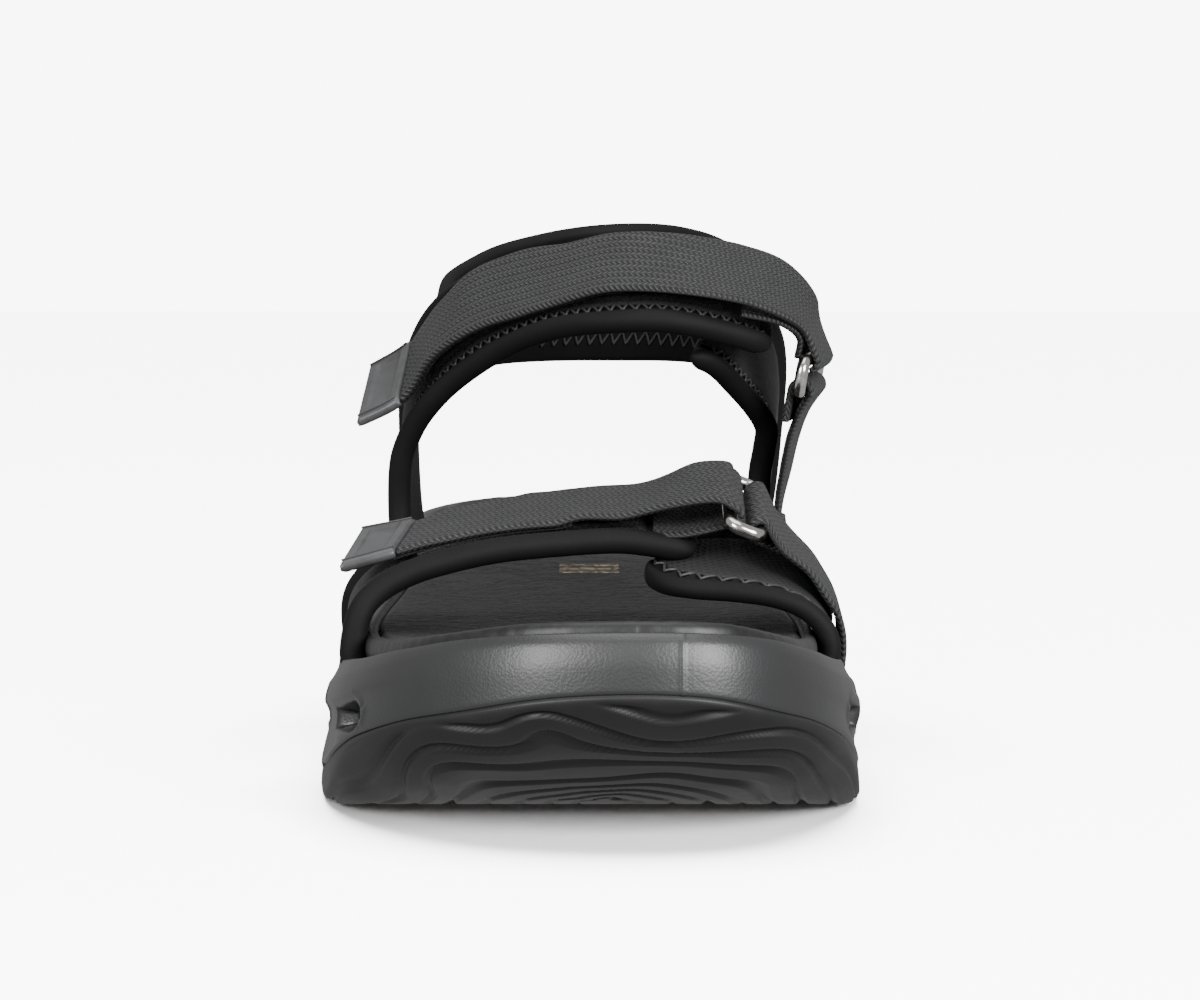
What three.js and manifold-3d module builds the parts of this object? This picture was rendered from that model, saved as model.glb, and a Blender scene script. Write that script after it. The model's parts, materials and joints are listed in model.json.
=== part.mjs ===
// A strappy sport sandal for the right foot, in millimetres.
// +Z is up, the toe points along -Y and the big-toe side lies along +X.
import * as THREE from "three";
import { mergeVertices } from "three/addons/utils/BufferGeometryUtils.js";
import Module from "manifold-3d";

const wasm = await Module();
wasm.setup();

// Overall sizes, each set by itself.
const soleLength = 268;
const soleWidth = 99.3;
const rimHeight = 25; // top rim of the midsole at the ball of the foot, its lowest place
const forefootRise = 27; // from that rim to the top of the forefoot band
const instepRise = 74; // from that rim to the top of the instep band

// The hand-drawn points below belong to these sizes and move with the ones above.
const drawn = { length: 268, width: 99.3, rim: 25, forefootRise: 27, instepRise: 74 };

// Clearances.
const gap = 0.3; // between pieces that touch
const slotClearance = 0.4; // round a band in its slot in the midsole
const ringPlay = 1.2; // between the webbing's edge and the ring's short side
const wrapClearance = 0.45; // between folded webbing and the bar inside it

// Sole sizes.
const outsoleThickness = 5;
const outsoleBottomInset = 2.5;
const toeSpring = 22; // lift of the tread at the toe tip
const toeSpringRun = 74; // length over which the tread lifts
const heelBevel = 5;
const heelBevelRun = 39;
const grooveWidth = 2.6;
const grooveDepth = 1.8;
const grooveCount = 9;
const grooveWave = 2.6; // sideways swing of a tread groove
const recessInset = 8.4; // outline of the sole to the footbed recess
const recessDepth = 5;
const windowDepth = 4; // blind side windows in the midsole
const windowHeight = 6.6;
const windowLength = 24;
const sideLean = 1.5; // how far the midsole's side leans in over the tread, at the windows
const boardThickness = 1.2;
const foamThickness = 6.6;
const coverThickness = 0.8;
const heelSeat = 5; // how much deeper the recess is under the heel
const footbedEdgeRise = 0.8;
const heelCupRise = 3.6; // further rise of the footbed's edge round the heel
const bindingWidth = 3;
const shankLength = 88;
const shankWidth = 18;
const shankThickness = 1.6;
const foilLength = 9;
const foilWidth = 12;
const foilThickness = 0.2;

// Band layers, from the foot outwards: lining, foam, cover.
const liningThickness = 0.5;
const bandFoamThickness = 1.2;
const bandCoverThickness = 0.5;
const bandHalf = (liningThickness + gap + bandFoamThickness + gap + bandCoverThickness) / 2;

// Webbing, hook and loop.
const webbingWidth = 25;
const webbingThickness = 1;
const pileWidth = 27;
const pileThickness = 0.5;
const hookThickness = 0.5;
const hookWidth = 22;
const tipThickness = 2.2;
const tipLength = 10;
const tipFrame = 2.2; // raised rim round the tip's panel
const tipPanelDepth = 0.5;
const threadWidth = 0.6;
const threadHeight = 0.4;
const zigzagWidth = 2.2;
const zigzagPitch = 2.6;
const seamInset = 1.6; // middle of the zigzag seam, in from a band's front edge

// Rings.
const wireDiameter = 2.5;
const barSpacing = 6.4; // between the axes of a ring's two long bars
const ringCornerRadius = 2;

const halfLength = soleLength / 2;
const halfWidth = soleWidth / 2;
const wireRadius = wireDiameter / 2;
const wrapRadius = wireRadius + wrapClearance + webbingThickness / 2; // webbing's middle, from a bar's axis
const onBand = bandHalf + gap; // height over a band's middle where the next layer starts
const pileMiddle = onBand + pileThickness / 2;
const webbingOnBand = onBand + webbingThickness / 2;
const hookLow = onBand + pileThickness + gap;
const engaged = hookLow + hookThickness + gap + webbingThickness / 2; // closed webbing's middle

const sandal = new THREE.Group();

// Colours and surface qualities.
const finish = {
  rubber: { color: 0x242426, roughness: 0.72, metalness: 0 },
  foam: { color: 0x2b2c2f, roughness: 0.5, metalness: 0 },
  leather: { color: 0x1c1b1b, roughness: 0.55, metalness: 0 },
  binding: { color: 0x141414, roughness: 0.35, metalness: 0 },
  board: { color: 0x8a7a62, roughness: 0.9, metalness: 0 },
  nylon: { color: 0x303236, roughness: 0.45, metalness: 0 },
  neoprene: { color: 0x141415, roughness: 0.85, metalness: 0 },
  padding: { color: 0x3c3c3e, roughness: 0.95, metalness: 0 },
  knit: { color: 0x2a2a2b, roughness: 0.9, metalness: 0 },
  webbing: { color: 0x202122, roughness: 0.8, metalness: 0 },
  pile: { color: 0x0e0e0e, roughness: 1, metalness: 0 },
  thread: { color: 0x0c0c0c, roughness: 0.7, metalness: 0 },
  tab: { color: 0x18191a, roughness: 0.4, metalness: 0 },
  metal: { color: 0xb9b6b2, roughness: 0.22, metalness: 1 },
  foil: { color: 0xb79b62, roughness: 0.35, metalness: 0.8 },
};

function addPiece(name, geometry, look) {
  const mesh = new THREE.Mesh(geometry, new THREE.MeshStandardMaterial(finish[look]));
  mesh.name = name;
  sandal.add(mesh);
}

// ---- solids ----

// Closed geometry from points and triangles, turned to face outwards.
function closedGeometry(points, triangles) {
  let volume = 0;
  for (const [a, b, c] of triangles) {
    volume += points[a].dot(new THREE.Vector3().crossVectors(points[b], points[c]));
  }
  const facing = volume < 0 ? triangles.map(([a, b, c]) => [a, c, b]) : triangles;
  const geometry = new THREE.BufferGeometry().setFromPoints(points);
  geometry.setIndex(facing.flat());
  return geometry;
}

// Solid through a stack of rings with equal point counts. The first and last rings are closed by
// rungs between point i and its partner from the other end; a looped stack needs no caps.
function loft(rings, looped = false) {
  const count = rings[0].length;
  const points = rings.flat();
  const triangles = [];
  const quad = (a, b, c, d) => triangles.push([a, b, c], [a, c, d]);
  const turnedQuad = (a, b, c, d) => triangles.push([a, b, d], [b, c, d]);
  const last = looped ? rings.length : rings.length - 1;
  for (let r = 0; r < last; r++) {
    const low = r * count;
    const high = ((r + 1) % rings.length) * count;
    for (let i = 0; i < count; i++) {
      const next = (i + 1) % count;
      const split = i < count / 2 ? quad : turnedQuad; // facing sides are split alike
      split(low + i, low + next, high + next, high + i);
    }
  }
  if (!looped) {
    const top = (rings.length - 1) * count;
    for (let i = 0; i < count / 2 - 1; i++) {
      const partner = count - 1 - i;
      quad(i, partner, partner - 1, i + 1);
      quad(top + i, top + i + 1, top + partner - 1, top + partner);
    }
  }
  return closedGeometry(points, triangles);
}

function toSolid(geometry) {
  const plain = geometry.clone();
  plain.deleteAttribute("normal");
  plain.deleteAttribute("uv");
  const merged = mergeVertices(plain, 1e-4);
  const mesh = new wasm.Mesh({
    numProp: 3,
    vertProperties: new Float32Array(merged.attributes.position.array),
    triVerts: new Uint32Array(merged.index.array),
  });
  return new wasm.Manifold(mesh);
}

function toGeometry(solid) {
  const mesh = solid.getMesh();
  const geometry = new THREE.BufferGeometry();
  geometry.setAttribute("position", new THREE.BufferAttribute(mesh.vertProperties, 3));
  geometry.setIndex(new THREE.BufferAttribute(mesh.triVerts, 1));
  return geometry;
}

function cutFrom(geometry, cutters) {
  return toGeometry(cutters.reduce((solid, cutter) => solid.subtract(toSolid(cutter)), toSolid(geometry)));
}

// ---- sole outline and heights ----

// Outline of the sole seen from above, from the toe tip down the little-toe side and back.
const outlinePoints = [
  [12, -134], [-12, -130.5], [-32, -115], [-44, -90], [-49, -55], [-49.4, -25], [-47, 5],
  [-43, 40], [-40.5, 75], [-37, 105], [-24, 127], [2, 134],
  [26, 126], [37, 103], [40.3, 75], [41.3, 45], [44, 15], [48.6, -20],
  [49.6, -50], [48, -82], [41.5, -110], [29, -128],
];

const outlineSteps = 24;

function sampledOutline() {
  const closed = [...outlinePoints, outlinePoints[0]];
  const curve = new THREE.SplineCurve(closed.map(([x, y]) => new THREE.Vector2(x, y)));
  const points = curve.getPoints(outlinePoints.length * outlineSteps).slice(0, -1);
  const box = new THREE.Box2().setFromPoints(points);
  const middle = box.getCenter(new THREE.Vector2());
  const size = box.getSize(new THREE.Vector2());
  const scale = new THREE.Vector2(soleWidth / size.x, soleLength / size.y);
  return points.map((p) => p.clone().sub(middle).multiply(scale));
}
const outline = sampledOutline();

// Outline moved inwards by an inset. Its points run clockwise, so the inside lies to their right.
function insetOutline(inset) {
  const count = outline.length;
  return outline.map((p, i) => {
    const along = outline[(i + 1) % count].clone().sub(outline[(i + count - 1) % count]).normalize();
    return new THREE.Vector2(p.x + along.y * inset, p.y - along.x * inset);
  });
}

// X of the inset outline on both sides at a given Y.
function sidesAt(loop, y) {
  const found = [];
  for (let i = 0; i < loop.length; i++) {
    const a = loop[i];
    const b = loop[(i + 1) % loop.length];
    if ((a.y <= y) !== (b.y <= y)) found.push(a.x + ((b.x - a.x) * (y - a.y)) / (b.y - a.y));
  }
  return [Math.min(...found), Math.max(...found)];
}

const stationCount = 26;
const endAngle = 0.2; // how near the first and last stations come to the tips

// Ring of points round the inset outline: down the -X side, back along the +X side.
function soleRing(inset, height, shrink = 1) {
  const loop = insetOutline(inset);
  const box = new THREE.Box2().setFromPoints(loop);
  const middleY = (box.min.y + box.max.y) / 2;
  const reachY = (box.max.y - box.min.y) / 2;
  const near = [];
  const far = [];
  for (let i = 0; i < stationCount; i++) {
    const angle = endAngle + ((Math.PI - 2 * endAngle) * i) / (stationCount - 1);
    const stretch = Math.cos(angle) / Math.cos(endAngle);
    const y = middleY - reachY * 0.999 * stretch;
    const [left, right] = sidesAt(loop, y);
    const centre = (left + right) / 2;
    const half = ((right - left) / 2) * shrink;
    const laidY = middleY + (y - middleY) * (0.5 + 0.5 * shrink);
    near.push(new THREE.Vector3(centre - half, laidY, 0));
    far.unshift(new THREE.Vector3(centre + half, laidY, 0));
  }
  const ring = [...near, ...far];
  ring.forEach((p) => (p.z = height(p.y)));
  return ring;
}

// Height as a smooth function of the place along the sole, through drawn points.
function heightThrough(pairs) {
  const curve = new THREE.SplineCurve(pairs.map(([y, z]) => new THREE.Vector2(y, z)));
  const points = curve.getPoints(120);
  return (y) => {
    const at = THREE.MathUtils.clamp((y * drawn.length) / soleLength, points[0].x, points.at(-1).x);
    const i = Math.max(1, points.findIndex((p) => p.x >= at));
    const share = (at - points[i - 1].x) / (points[i].x - points[i - 1].x);
    return THREE.MathUtils.lerp(points[i - 1].y, points[i].y, share);
  };
}

const rimOverBall = heightThrough([
  [-134, 11.5], [-112, 6.6], [-90, 3], [-50, 0], [0, 3], [50, 11], [90, 15], [134, 17],
]);
const rimAt = (y) => rimHeight + rimOverBall(y);
const treadAt = (y) => {
  const toe = Math.max(0, (-halfLength + toeSpringRun - y) / toeSpringRun);
  const heel = Math.max(0, (y - halfLength + heelBevelRun) / heelBevelRun);
  return toeSpring * toe ** 2 + heelBevel * heel ** 2;
};
const outsoleTopAt = (y) => treadAt(y) + outsoleThickness;
const heelShare = (y) => THREE.MathUtils.smoothstep(y, 0, halfLength * 0.6);
const recessAt = (y) => rimAt(y) - recessDepth - heelSeat * heelShare(y);
const boardTopAt = (y) => recessAt(y) + gap + boardThickness;
const footbedAt = (y) => boardTopAt(y) + gap + foamThickness;
const footbedEdgeAt = (y) => footbedAt(y) + footbedEdgeRise + heelCupRise * heelShare(y);

// ---- sole pieces ----

function treadGroove(index) {
  const y = -halfLength + 16 + (index * (soleLength - 34)) / (grooveCount - 1);
  const band = new THREE.Shape();
  const steps = 12;
  const reach = halfWidth + 2;
  const wave = (x) => y + grooveWave * Math.sin((x * Math.PI) / 22 + index);
  const edge = (side) => Array.from({ length: steps + 1 }, (_, i) => {
    const x = -reach + (2 * reach * i) / steps;
    return new THREE.Vector2(x, wave(x) + (side * grooveWidth) / 2);
  });
  band.setFromPoints([...edge(-1), ...edge(1).reverse()]);
  const below = 2;
  const depth = treadAt(y) + grooveDepth + below;
  const geometry = new THREE.ExtrudeGeometry(band, { depth, bevelEnabled: false });
  return geometry.translate(0, 0, -below);
}

function outsole() {
  const body = loft([
    soleRing(outsoleBottomInset, treadAt),
    soleRing(0.8, (y) => treadAt(y) + 0.5 * outsoleThickness),
    soleRing(0, outsoleTopAt),
  ]);
  return cutFrom(body, Array.from({ length: grooveCount }, (_, i) => treadGroove(i)));
}

// Blind D-shaped window in the sole's side, round at the toe end and drawn out at the heel end.
function sideWindow(side, y, height) {
  const half = windowHeight / 2;
  const shape = new THREE.Shape();
  shape.absarc(-windowLength / 2 + half, 0, half, Math.PI / 2, (3 * Math.PI) / 2);
  shape.lineTo(windowLength / 2, -half * 0.4);
  shape.lineTo(windowLength / 2 - 4, half * 0.5);
  const options = { depth: 2 * windowDepth, bevelEnabled: false, curveSegments: 8 };
  const geometry = new THREE.ExtrudeGeometry(shape, options);
  geometry.translate(0, 0, -windowDepth);
  geometry.applyMatrix4(new THREE.Matrix4().makeBasis(
    new THREE.Vector3(0, 1, 0), new THREE.Vector3(0, 0, 1), new THREE.Vector3(1, 0, 0)));
  const sideX = (at) => sidesAt(outline, at)[side < 0 ? 0 : 1];
  const reach = windowLength / 3;
  geometry.rotateZ(Math.atan2(sideX(y - reach) - sideX(y + reach), 2 * reach)); // follows the side
  return geometry.translate(sideX(y) - side * sideLean, y, height);
}

function sideWindows() {
  const places = [
    [-1, -89, 18.2], [-1, -44, 15.5], [-1, 66, 21],
    [1, -80, 17.5], [1, -34, 15.5], [1, 70, 21],
  ];
  return places.map(([side, y, height]) =>
    sideWindow(side, (y * soleLength) / drawn.length, height + (rimHeight - drawn.rim) / 2));
}

function midsole(slots) {
  const between = (share) => (y) => THREE.MathUtils.lerp(outsoleTopAt(y) + gap, rimAt(y), share);
  const body = loft([
    soleRing(0.4, between(0)),
    soleRing(0.3, between(0.12)),
    soleRing(1.3, between(0.35)),
    soleRing(1, between(0.65)),
    soleRing(0.8, between(0.88)),
    soleRing(1.6, rimAt),
    soleRing(recessInset, rimAt),
    soleRing(recessInset + 0.2, recessAt),
  ]);
  return cutFrom(body, [...sideWindows(), ...slots]);
}

// Curved nylon strip let into the recess floor, and the pocket it lies in.
function shank(grow = 0) {
  const startY = -halfLength * 0.12;
  const low = (y) => recessAt(y) - gap - shankThickness - grow;
  const high = (y) => recessAt(y) - gap + (grow ? gap + 1 : 0);
  const steps = 10;
  const half = shankWidth / 2 + grow;
  const rings = Array.from({ length: steps + 1 }, (_, i) => {
    const y = startY - grow + ((shankLength + 2 * grow) * i) / steps;
    const corners = [[-half, low], [half, low], [half, high], [-half, high]];
    return corners.map(([x, z]) => new THREE.Vector3(x, y, z(y)));
  });
  return loft(rings);
}

function insoleBoard() {
  const inset = recessInset + 0.2 + gap + 0.1;
  return loft([soleRing(inset, (y) => recessAt(y) + gap), soleRing(inset, boardTopAt)]);
}

const footbedInset = recessInset + 0.5 + bindingWidth + gap;

function footbedFoam() {
  return loft([
    soleRing(footbedInset, (y) => boardTopAt(y) + gap),
    soleRing(footbedInset, footbedEdgeAt),
    soleRing(footbedInset, (y) => THREE.MathUtils.lerp(footbedAt(y), footbedEdgeAt(y), 0.45), 0.84),
    soleRing(footbedInset, footbedAt, 0.55),
  ]);
}

function footbedCover() {
  const lift = (height, extra) => (y) => height(y) + gap + extra;
  const soft = (y) => THREE.MathUtils.lerp(footbedAt(y), footbedEdgeAt(y), 0.45);
  return loft([
    soleRing(footbedInset, lift(footbedAt, 0), 0.55),
    soleRing(footbedInset, lift(soft, 0), 0.84),
    soleRing(footbedInset, lift(footbedEdgeAt, 0)),
    soleRing(footbedInset, lift(footbedEdgeAt, coverThickness)),
    soleRing(footbedInset, lift(soft, coverThickness), 0.84),
    soleRing(footbedInset, lift(footbedAt, coverThickness), 0.55),
  ]);
}

function footbedBinding() {
  const outer = recessInset + 0.5;
  const inner = outer + bindingWidth;
  const top = (y) => footbedEdgeAt(y) + gap + coverThickness;
  const low = (y) => boardTopAt(y) + gap;
  return loft([
    soleRing(outer, low), soleRing(outer, (y) => top(y) - 1.2), soleRing(outer + 0.9, top),
    soleRing(inner - 0.6, top), soleRing(inner, (y) => top(y) - 0.8), soleRing(inner, low),
  ], true);
}

function foilMark() {
  const geometry = new THREE.BoxGeometry(foilWidth, foilLength, foilThickness);
  const y = halfLength * 0.2;
  const slope = (footbedAt(y + 1) - footbedAt(y - 1)) / 2;
  geometry.rotateX(Math.atan(slope));
  const lift = gap + coverThickness + gap + foilThickness / 2 + 0.1;
  return geometry.translate(0, y, footbedAt(y) + lift);
}

// ---- bands: ruled surfaces between a front and a rear edge ----

// Drawn point to real place: X with the width, Y with the length, height over the rim with a rise.
function placed(rise, drawnRise, points) {
  return points.map(([x, y, z]) => new THREE.Vector3(
    (x * soleWidth) / drawn.width,
    (y * soleLength) / drawn.length,
    rimHeight + ((z - drawn.rim) * (z > drawn.rim ? rise / drawnRise : 1))));
}
const forefootPoints = (points) => placed(forefootRise, drawn.forefootRise, points);
const instepPoints = (points) => placed(instepRise, drawn.instepRise, points);

// Surface between two edges. Facing is 1 or -1, so that its normals point away from the foot.
function bandSurface(front, rear, facing) {
  const frontEdge = new THREE.CatmullRomCurve3(front, false, "centripetal");
  const rearEdge = new THREE.CatmullRomCurve3(rear, false, "centripetal");
  const point = (u, v) => frontEdge.getPointAt(u).lerp(rearEdge.getPointAt(u), v);
  const width = (u) => frontEdge.getPointAt(u).distanceTo(rearEdge.getPointAt(u));
  const normal = (u, v) => {
    const low = Math.max(0, u - 0.01);
    const high = Math.min(1, u + 0.01);
    const along = point(high, v).sub(point(low, v));
    const across = point(u, 1).sub(point(u, 0));
    return along.cross(across).normalize().multiplyScalar(facing);
  };
  return { point, width, normal, length: frontEdge.getLength() };
}

const acrossShares = [0, 0.5, 1];

// Stations along a surface: each is a row of points with normals across the band.
function stationsOn(surface, from, to, count, low = () => 0, high = () => 1) {
  return Array.from({ length: count + 1 }, (_, i) => {
    const u = from + ((to - from) * i) / count;
    return acrossShares.map((share) => {
      const v = THREE.MathUtils.lerp(low(u), high(u), share);
      return { point: surface.point(u, v), normal: surface.normal(u, v) };
    });
  });
}

// Stations of a strip of fixed width whose middle follows centre(u), kept behind the seam.
function stripStations(surface, from, to, count, width, centre) {
  const reach = (u) => width / 2 / surface.width(u);
  const seam = (u) => seamInset / surface.width(u) + zigzagWidth / surface.width(u);
  return stationsOn(surface, from, to, count,
    (u) => Math.max(seam(u), centre(u) - reach(u)), (u) => centre(u) + reach(u));
}

// Solid layer between two heights over the stations.
function layer(stations, low, high) {
  const offset = (s, height) => s.point.clone().addScaledVector(s.normal, height);
  return loft(stations.map((row) => [
    ...row.map((s) => offset(s, high)),
    ...row.map((s) => offset(s, low)).reverse(),
  ]));
}

// Layer grown by a clearance on every side, to cut a slot with.
function slotAround(surface, to, low, high, lowSide = () => 0, highSide = () => 1) {
  const side = (u) => slotClearance / surface.width(u);
  const rows = stationsOn(surface, 0, to, 6, (u) => lowSide(u) - side(u), (u) => highSide(u) + side(u));
  const below = rows[0].map((s, i) => ({
    point: s.point.clone().add(s.point.clone().sub(rows[1][i].point).setLength(slotClearance)),
    normal: s.normal,
  }));
  return layer([below, ...rows], low - slotClearance, high + slotClearance);
}

const liningLow = -bandHalf;
const foamLow = liningLow + liningThickness + gap;
const coverLow = foamLow + bandFoamThickness + gap;

function addBand(name, surface, count, from = 0, to = 1) {
  const rows = stationsOn(surface, from, to, count);
  addPiece(name + "_lining", layer(rows, liningLow, liningLow + liningThickness), "neoprene");
  addPiece(name + "_foam", layer(rows, foamLow, foamLow + bandFoamThickness), "padding");
  addPiece(name + "_cover", layer(rows, coverLow, coverLow + bandCoverThickness), "knit");
}

// Zigzag thread along a band, between two places across it.
function zigzag(surface, from, to, base) {
  const count = Math.round(((to - from) * surface.length) / zigzagPitch);
  const mitre = ((threadWidth / 2) * Math.hypot(zigzagPitch, zigzagWidth)) / zigzagPitch;
  const rings = Array.from({ length: count + 1 }, (_, i) => {
    const u = from + ((to - from) * i) / count;
    const swing = ((i % 2 ? 1 : -1) * zigzagWidth) / 2 / surface.width(u);
    const v = seamInset / surface.width(u) + swing;
    const centre = surface.point(u, v);
    const normal = surface.normal(u, v);
    const across = surface.point(u, 1).sub(surface.point(u, 0)).setLength(mitre);
    const corner = (side, height) =>
      centre.clone().addScaledVector(across, side).addScaledVector(normal, height);
    const top = base + threadHeight;
    return [corner(-1, base), corner(1, base), corner(1, top), corner(-1, top)];
  });
  return loft(rings);
}

// ---- ring closures ----

// Frame of a ring: axes of its two bars, width direction, direction from holder bar to strap bar,
// and outward normal.
function ringFrame(strapMiddle, widthAim, pullAim) {
  const width = widthAim.clone().normalize();
  const pull = pullAim.clone().addScaledVector(width, -pullAim.dot(width)).normalize();
  const out = width.clone().cross(pull);
  const holderMiddle = strapMiddle.clone().addScaledVector(pull, -barSpacing);
  return { width, pull, out, strapMiddle, holderMiddle };
}

function ringGeometry(frame) {
  const halfLong = webbingWidth / 2 + ringPlay + wireRadius;
  const halfShort = barSpacing / 2;
  const radius = ringCornerRadius;
  const shape = new THREE.Path();
  shape.moveTo(halfLong - radius, -halfShort);
  shape.absarc(halfLong - radius, -halfShort + radius, radius, -Math.PI / 2, 0);
  shape.absarc(halfLong - radius, halfShort - radius, radius, 0, Math.PI / 2);
  shape.absarc(-halfLong + radius, halfShort - radius, radius, Math.PI / 2, Math.PI);
  shape.absarc(-halfLong + radius, -halfShort + radius, radius, Math.PI, 1.5 * Math.PI);
  shape.closePath();
  const middle = frame.strapMiddle.clone().lerp(frame.holderMiddle, 0.5);
  const points = shape.getSpacedPoints(40).slice(0, -1).map((p) =>
    middle.clone().addScaledVector(frame.width, p.x).addScaledVector(frame.pull, p.y));
  const path = new THREE.CatmullRomCurve3(points, true);
  const tube = new THREE.TubeGeometry(path, 40, wireRadius, 8, true);
  tube.deleteAttribute("normal");
  tube.deleteAttribute("uv");
  return mergeVertices(tube, 1e-3);
}

// Point on a bar's wrap. Angle 90 degrees is the outer side and 0 faces the other bar.
function wrapRow(frame, barMiddle, towards, degrees) {
  const angle = THREE.MathUtils.degToRad(degrees);
  const normal = towards.clone().multiplyScalar(Math.cos(angle)).addScaledVector(frame.out, Math.sin(angle));
  return acrossShares.map((share) => ({
    point: barMiddle.clone()
      .addScaledVector(frame.width, (share - 0.5) * webbingWidth)
      .addScaledVector(normal, wrapRadius),
    normal,
  }));
}

function wrapRows(frame, barMiddle, towards, from, to, count) {
  return Array.from({ length: count + 1 }, (_, i) =>
    wrapRow(frame, barMiddle, towards, from + ((to - from) * i) / count));
}

// Edges of a webbing run that starts on a ring and then lies over a band. Each laid entry is
// [place along the band, middle across it, height over it].
function runEdges(start, surface, laid, ends = []) {
  const edge = (side) => [
    ...start.map((row) => row[side < 0 ? 0 : 2].point),
    ...laid.map(([u, middle, height]) => {
      const v = middle + (side * webbingWidth) / 2 / surface.width(u);
      return surface.point(u, v).addScaledVector(surface.normal(u, v), height);
    }),
    ...ends.map((pair) => pair[side < 0 ? 0 : 1]),
  ];
  return [edge(-1), edge(1)];
}

const hinges = {};

function addHinge(name, point, axis) {
  hinges[name] = { point: point.toArray(), axis: axis.clone().normalize().toArray() };
}

const wrapFrom = 15; // where the folded webbing's wrap starts, so it can turn by the lift range
const peelGap = gap;

// Webbing that folds through the ring and closes on the band, with its loop strip and tip.
function addClosure(name, band, frame, plan) {
  const pull = frame.pull;
  const foldSide = pull.clone().negate();
  const bar = frame.strapMiddle;
  const centre = plan.centre;

  const pile = stripStations(band, plan.pile[0], plan.pile[1], plan.pileSteps, pileWidth, centre);
  addPiece(name + "_loop_strip", layer(pile, onBand, onBand + pileThickness), "pile");

  const innerTangent = wrapRow(frame, bar, foldSide, -90);
  innerTangent.forEach((s) => s.normal = frame.out);
  const lowerLaid = plan.lower.map(([u, height]) => [u, centre(u), height]);
  const [lowerFront, lowerRear] = runEdges([innerTangent], band, lowerLaid);
  const lower = bandSurface(lowerFront, lowerRear, -1);
  addPiece(name + "_webbing_lower",
    layer(stationsOn(lower, 0, 1, 8), -webbingThickness / 2, webbingThickness / 2), "webbing");

  const wrap = wrapRows(frame, bar, foldSide, wrapFrom, 90, 5);
  const upperLaid = plan.upper.map(([u, height]) => [u, centre(u), height]);
  const [upperFront, upperRear] = runEdges([wrap.at(-1)], band, upperLaid, plan.tip);
  const upper = bandSurface(upperFront, upperRear, -1);
  const half = webbingThickness / 2;
  const tipFrom = 1 - tipLength / upper.length;
  const split = plan.split;
  const halfGap = peelGap / 2 / upper.length;
  const firstStep = split / plan.nearSteps;
  const nearRows = [...wrap, ...stationsOn(upper, firstStep, split - halfGap, plan.nearSteps - 1)];
  addPiece(name + "_webbing_near", layer(nearRows, -half, half), "webbing");
  const endRows = stationsOn(upper, split + halfGap, tipFrom - gap / upper.length, plan.endSteps);
  addPiece(name + "_webbing_end", layer(endRows, -half, half), "webbing");

  const hookSide = hookWidth / webbingWidth / 2;
  const hookRows = stationsOn(upper, plan.hook[0], plan.hook[1], plan.endSteps,
    () => 0.5 - hookSide, () => 0.5 + hookSide);
  addPiece(name + "_hook_strip", layer(hookRows, -half - gap - hookThickness, -half - gap), "pile");

  const panelSide = tipFrame / webbingWidth;
  const panelEnd = tipFrame / upper.length;
  const tipRows = stationsOn(upper, tipFrom, 1, 4);
  const panelRows = stationsOn(upper, tipFrom + panelEnd, 1 - panelEnd, 3,
    () => panelSide, () => 1 - panelSide);
  const tipBody = layer(tipRows, -tipThickness / 2, tipThickness / 2);
  const panelCut = layer(panelRows, tipThickness / 2 - tipPanelDepth, tipThickness / 2 + 1);
  addPiece(name + "_tip", cutFrom(tipBody, [panelCut]), "tab");

  addPiece(name + "_ring", ringGeometry(frame), "metal");
  addHinge(name + "_ring_swivel", frame.holderMiddle, frame.width);
  addHinge(name + "_strap_lift", frame.strapMiddle, frame.width);
  const hingeFront = upper.point(split, 0).addScaledVector(upper.normal(split, 0), half);
  const hingeRear = upper.point(split, 1).addScaledVector(upper.normal(split, 1), half);
  addHinge(name + "_strap_peel", hingeFront.clone().lerp(hingeRear, 0.5), hingeRear.clone().sub(hingeFront));
}

// Webbing that holds the ring: up from the slot over its band, round the holder bar and back.
function addRingHolder(name, band, frame, plan) {
  const bar = frame.holderMiddle;
  const wrap = wrapRows(frame, bar, frame.pull, 90, -90, 10);
  const [front, rear] = runEdges([wrap[0]], band, plan.laid);
  const run = bandSurface(front, rear, 1);
  const back = wrap.at(-1).map((s) => ({
    point: s.point.clone().addScaledVector(frame.pull, -plan.returnLength),
    normal: s.normal,
  }));
  const rows = [...stationsOn(run, 1 / plan.steps, 1, plan.steps - 1).reverse(), ...wrap, back];
  const half = webbingThickness / 2;
  addPiece(name + "_ring_holder", layer(rows, -half, half), "webbing");
  return slotAround(flipped(run), plan.slotShare, -half, half);
}

// Same surface walked from its other end.
function flipped(surface) {
  return { ...surface,
    point: (u, v) => surface.point(1 - u, v),
    normal: (u, v) => surface.normal(1 - u, v),
    width: (u) => surface.width(1 - u),
  };
}

// ---- forefoot bands ----

const forefootLateral = bandSurface(
  forefootPoints([
    [-42.5, -62, 18], [-43.3, -62, 27], [-41.5, -61, 34], [-37.6, -59, 38], [-32, -57, 40.6],
    [-25, -55, 42.6], [-16, -52.5, 44.2], [-5, -50, 45.1], [6, -48, 45.3], [14, -47, 44.5], [20, -46.5, 43.3],
  ]),
  forefootPoints([
    [-44.5, -30, 18], [-45.2, -30, 27], [-44.2, -29, 34], [-40.8, -28, 39], [-34.5, -26.5, 42.7],
    [-26.7, -25, 45.8], [-17, -23, 47.9], [-5, -21, 49.6], [6, -20, 50.8], [14, -20, 50.8], [21, -20, 50.3],
  ]), 1);

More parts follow.
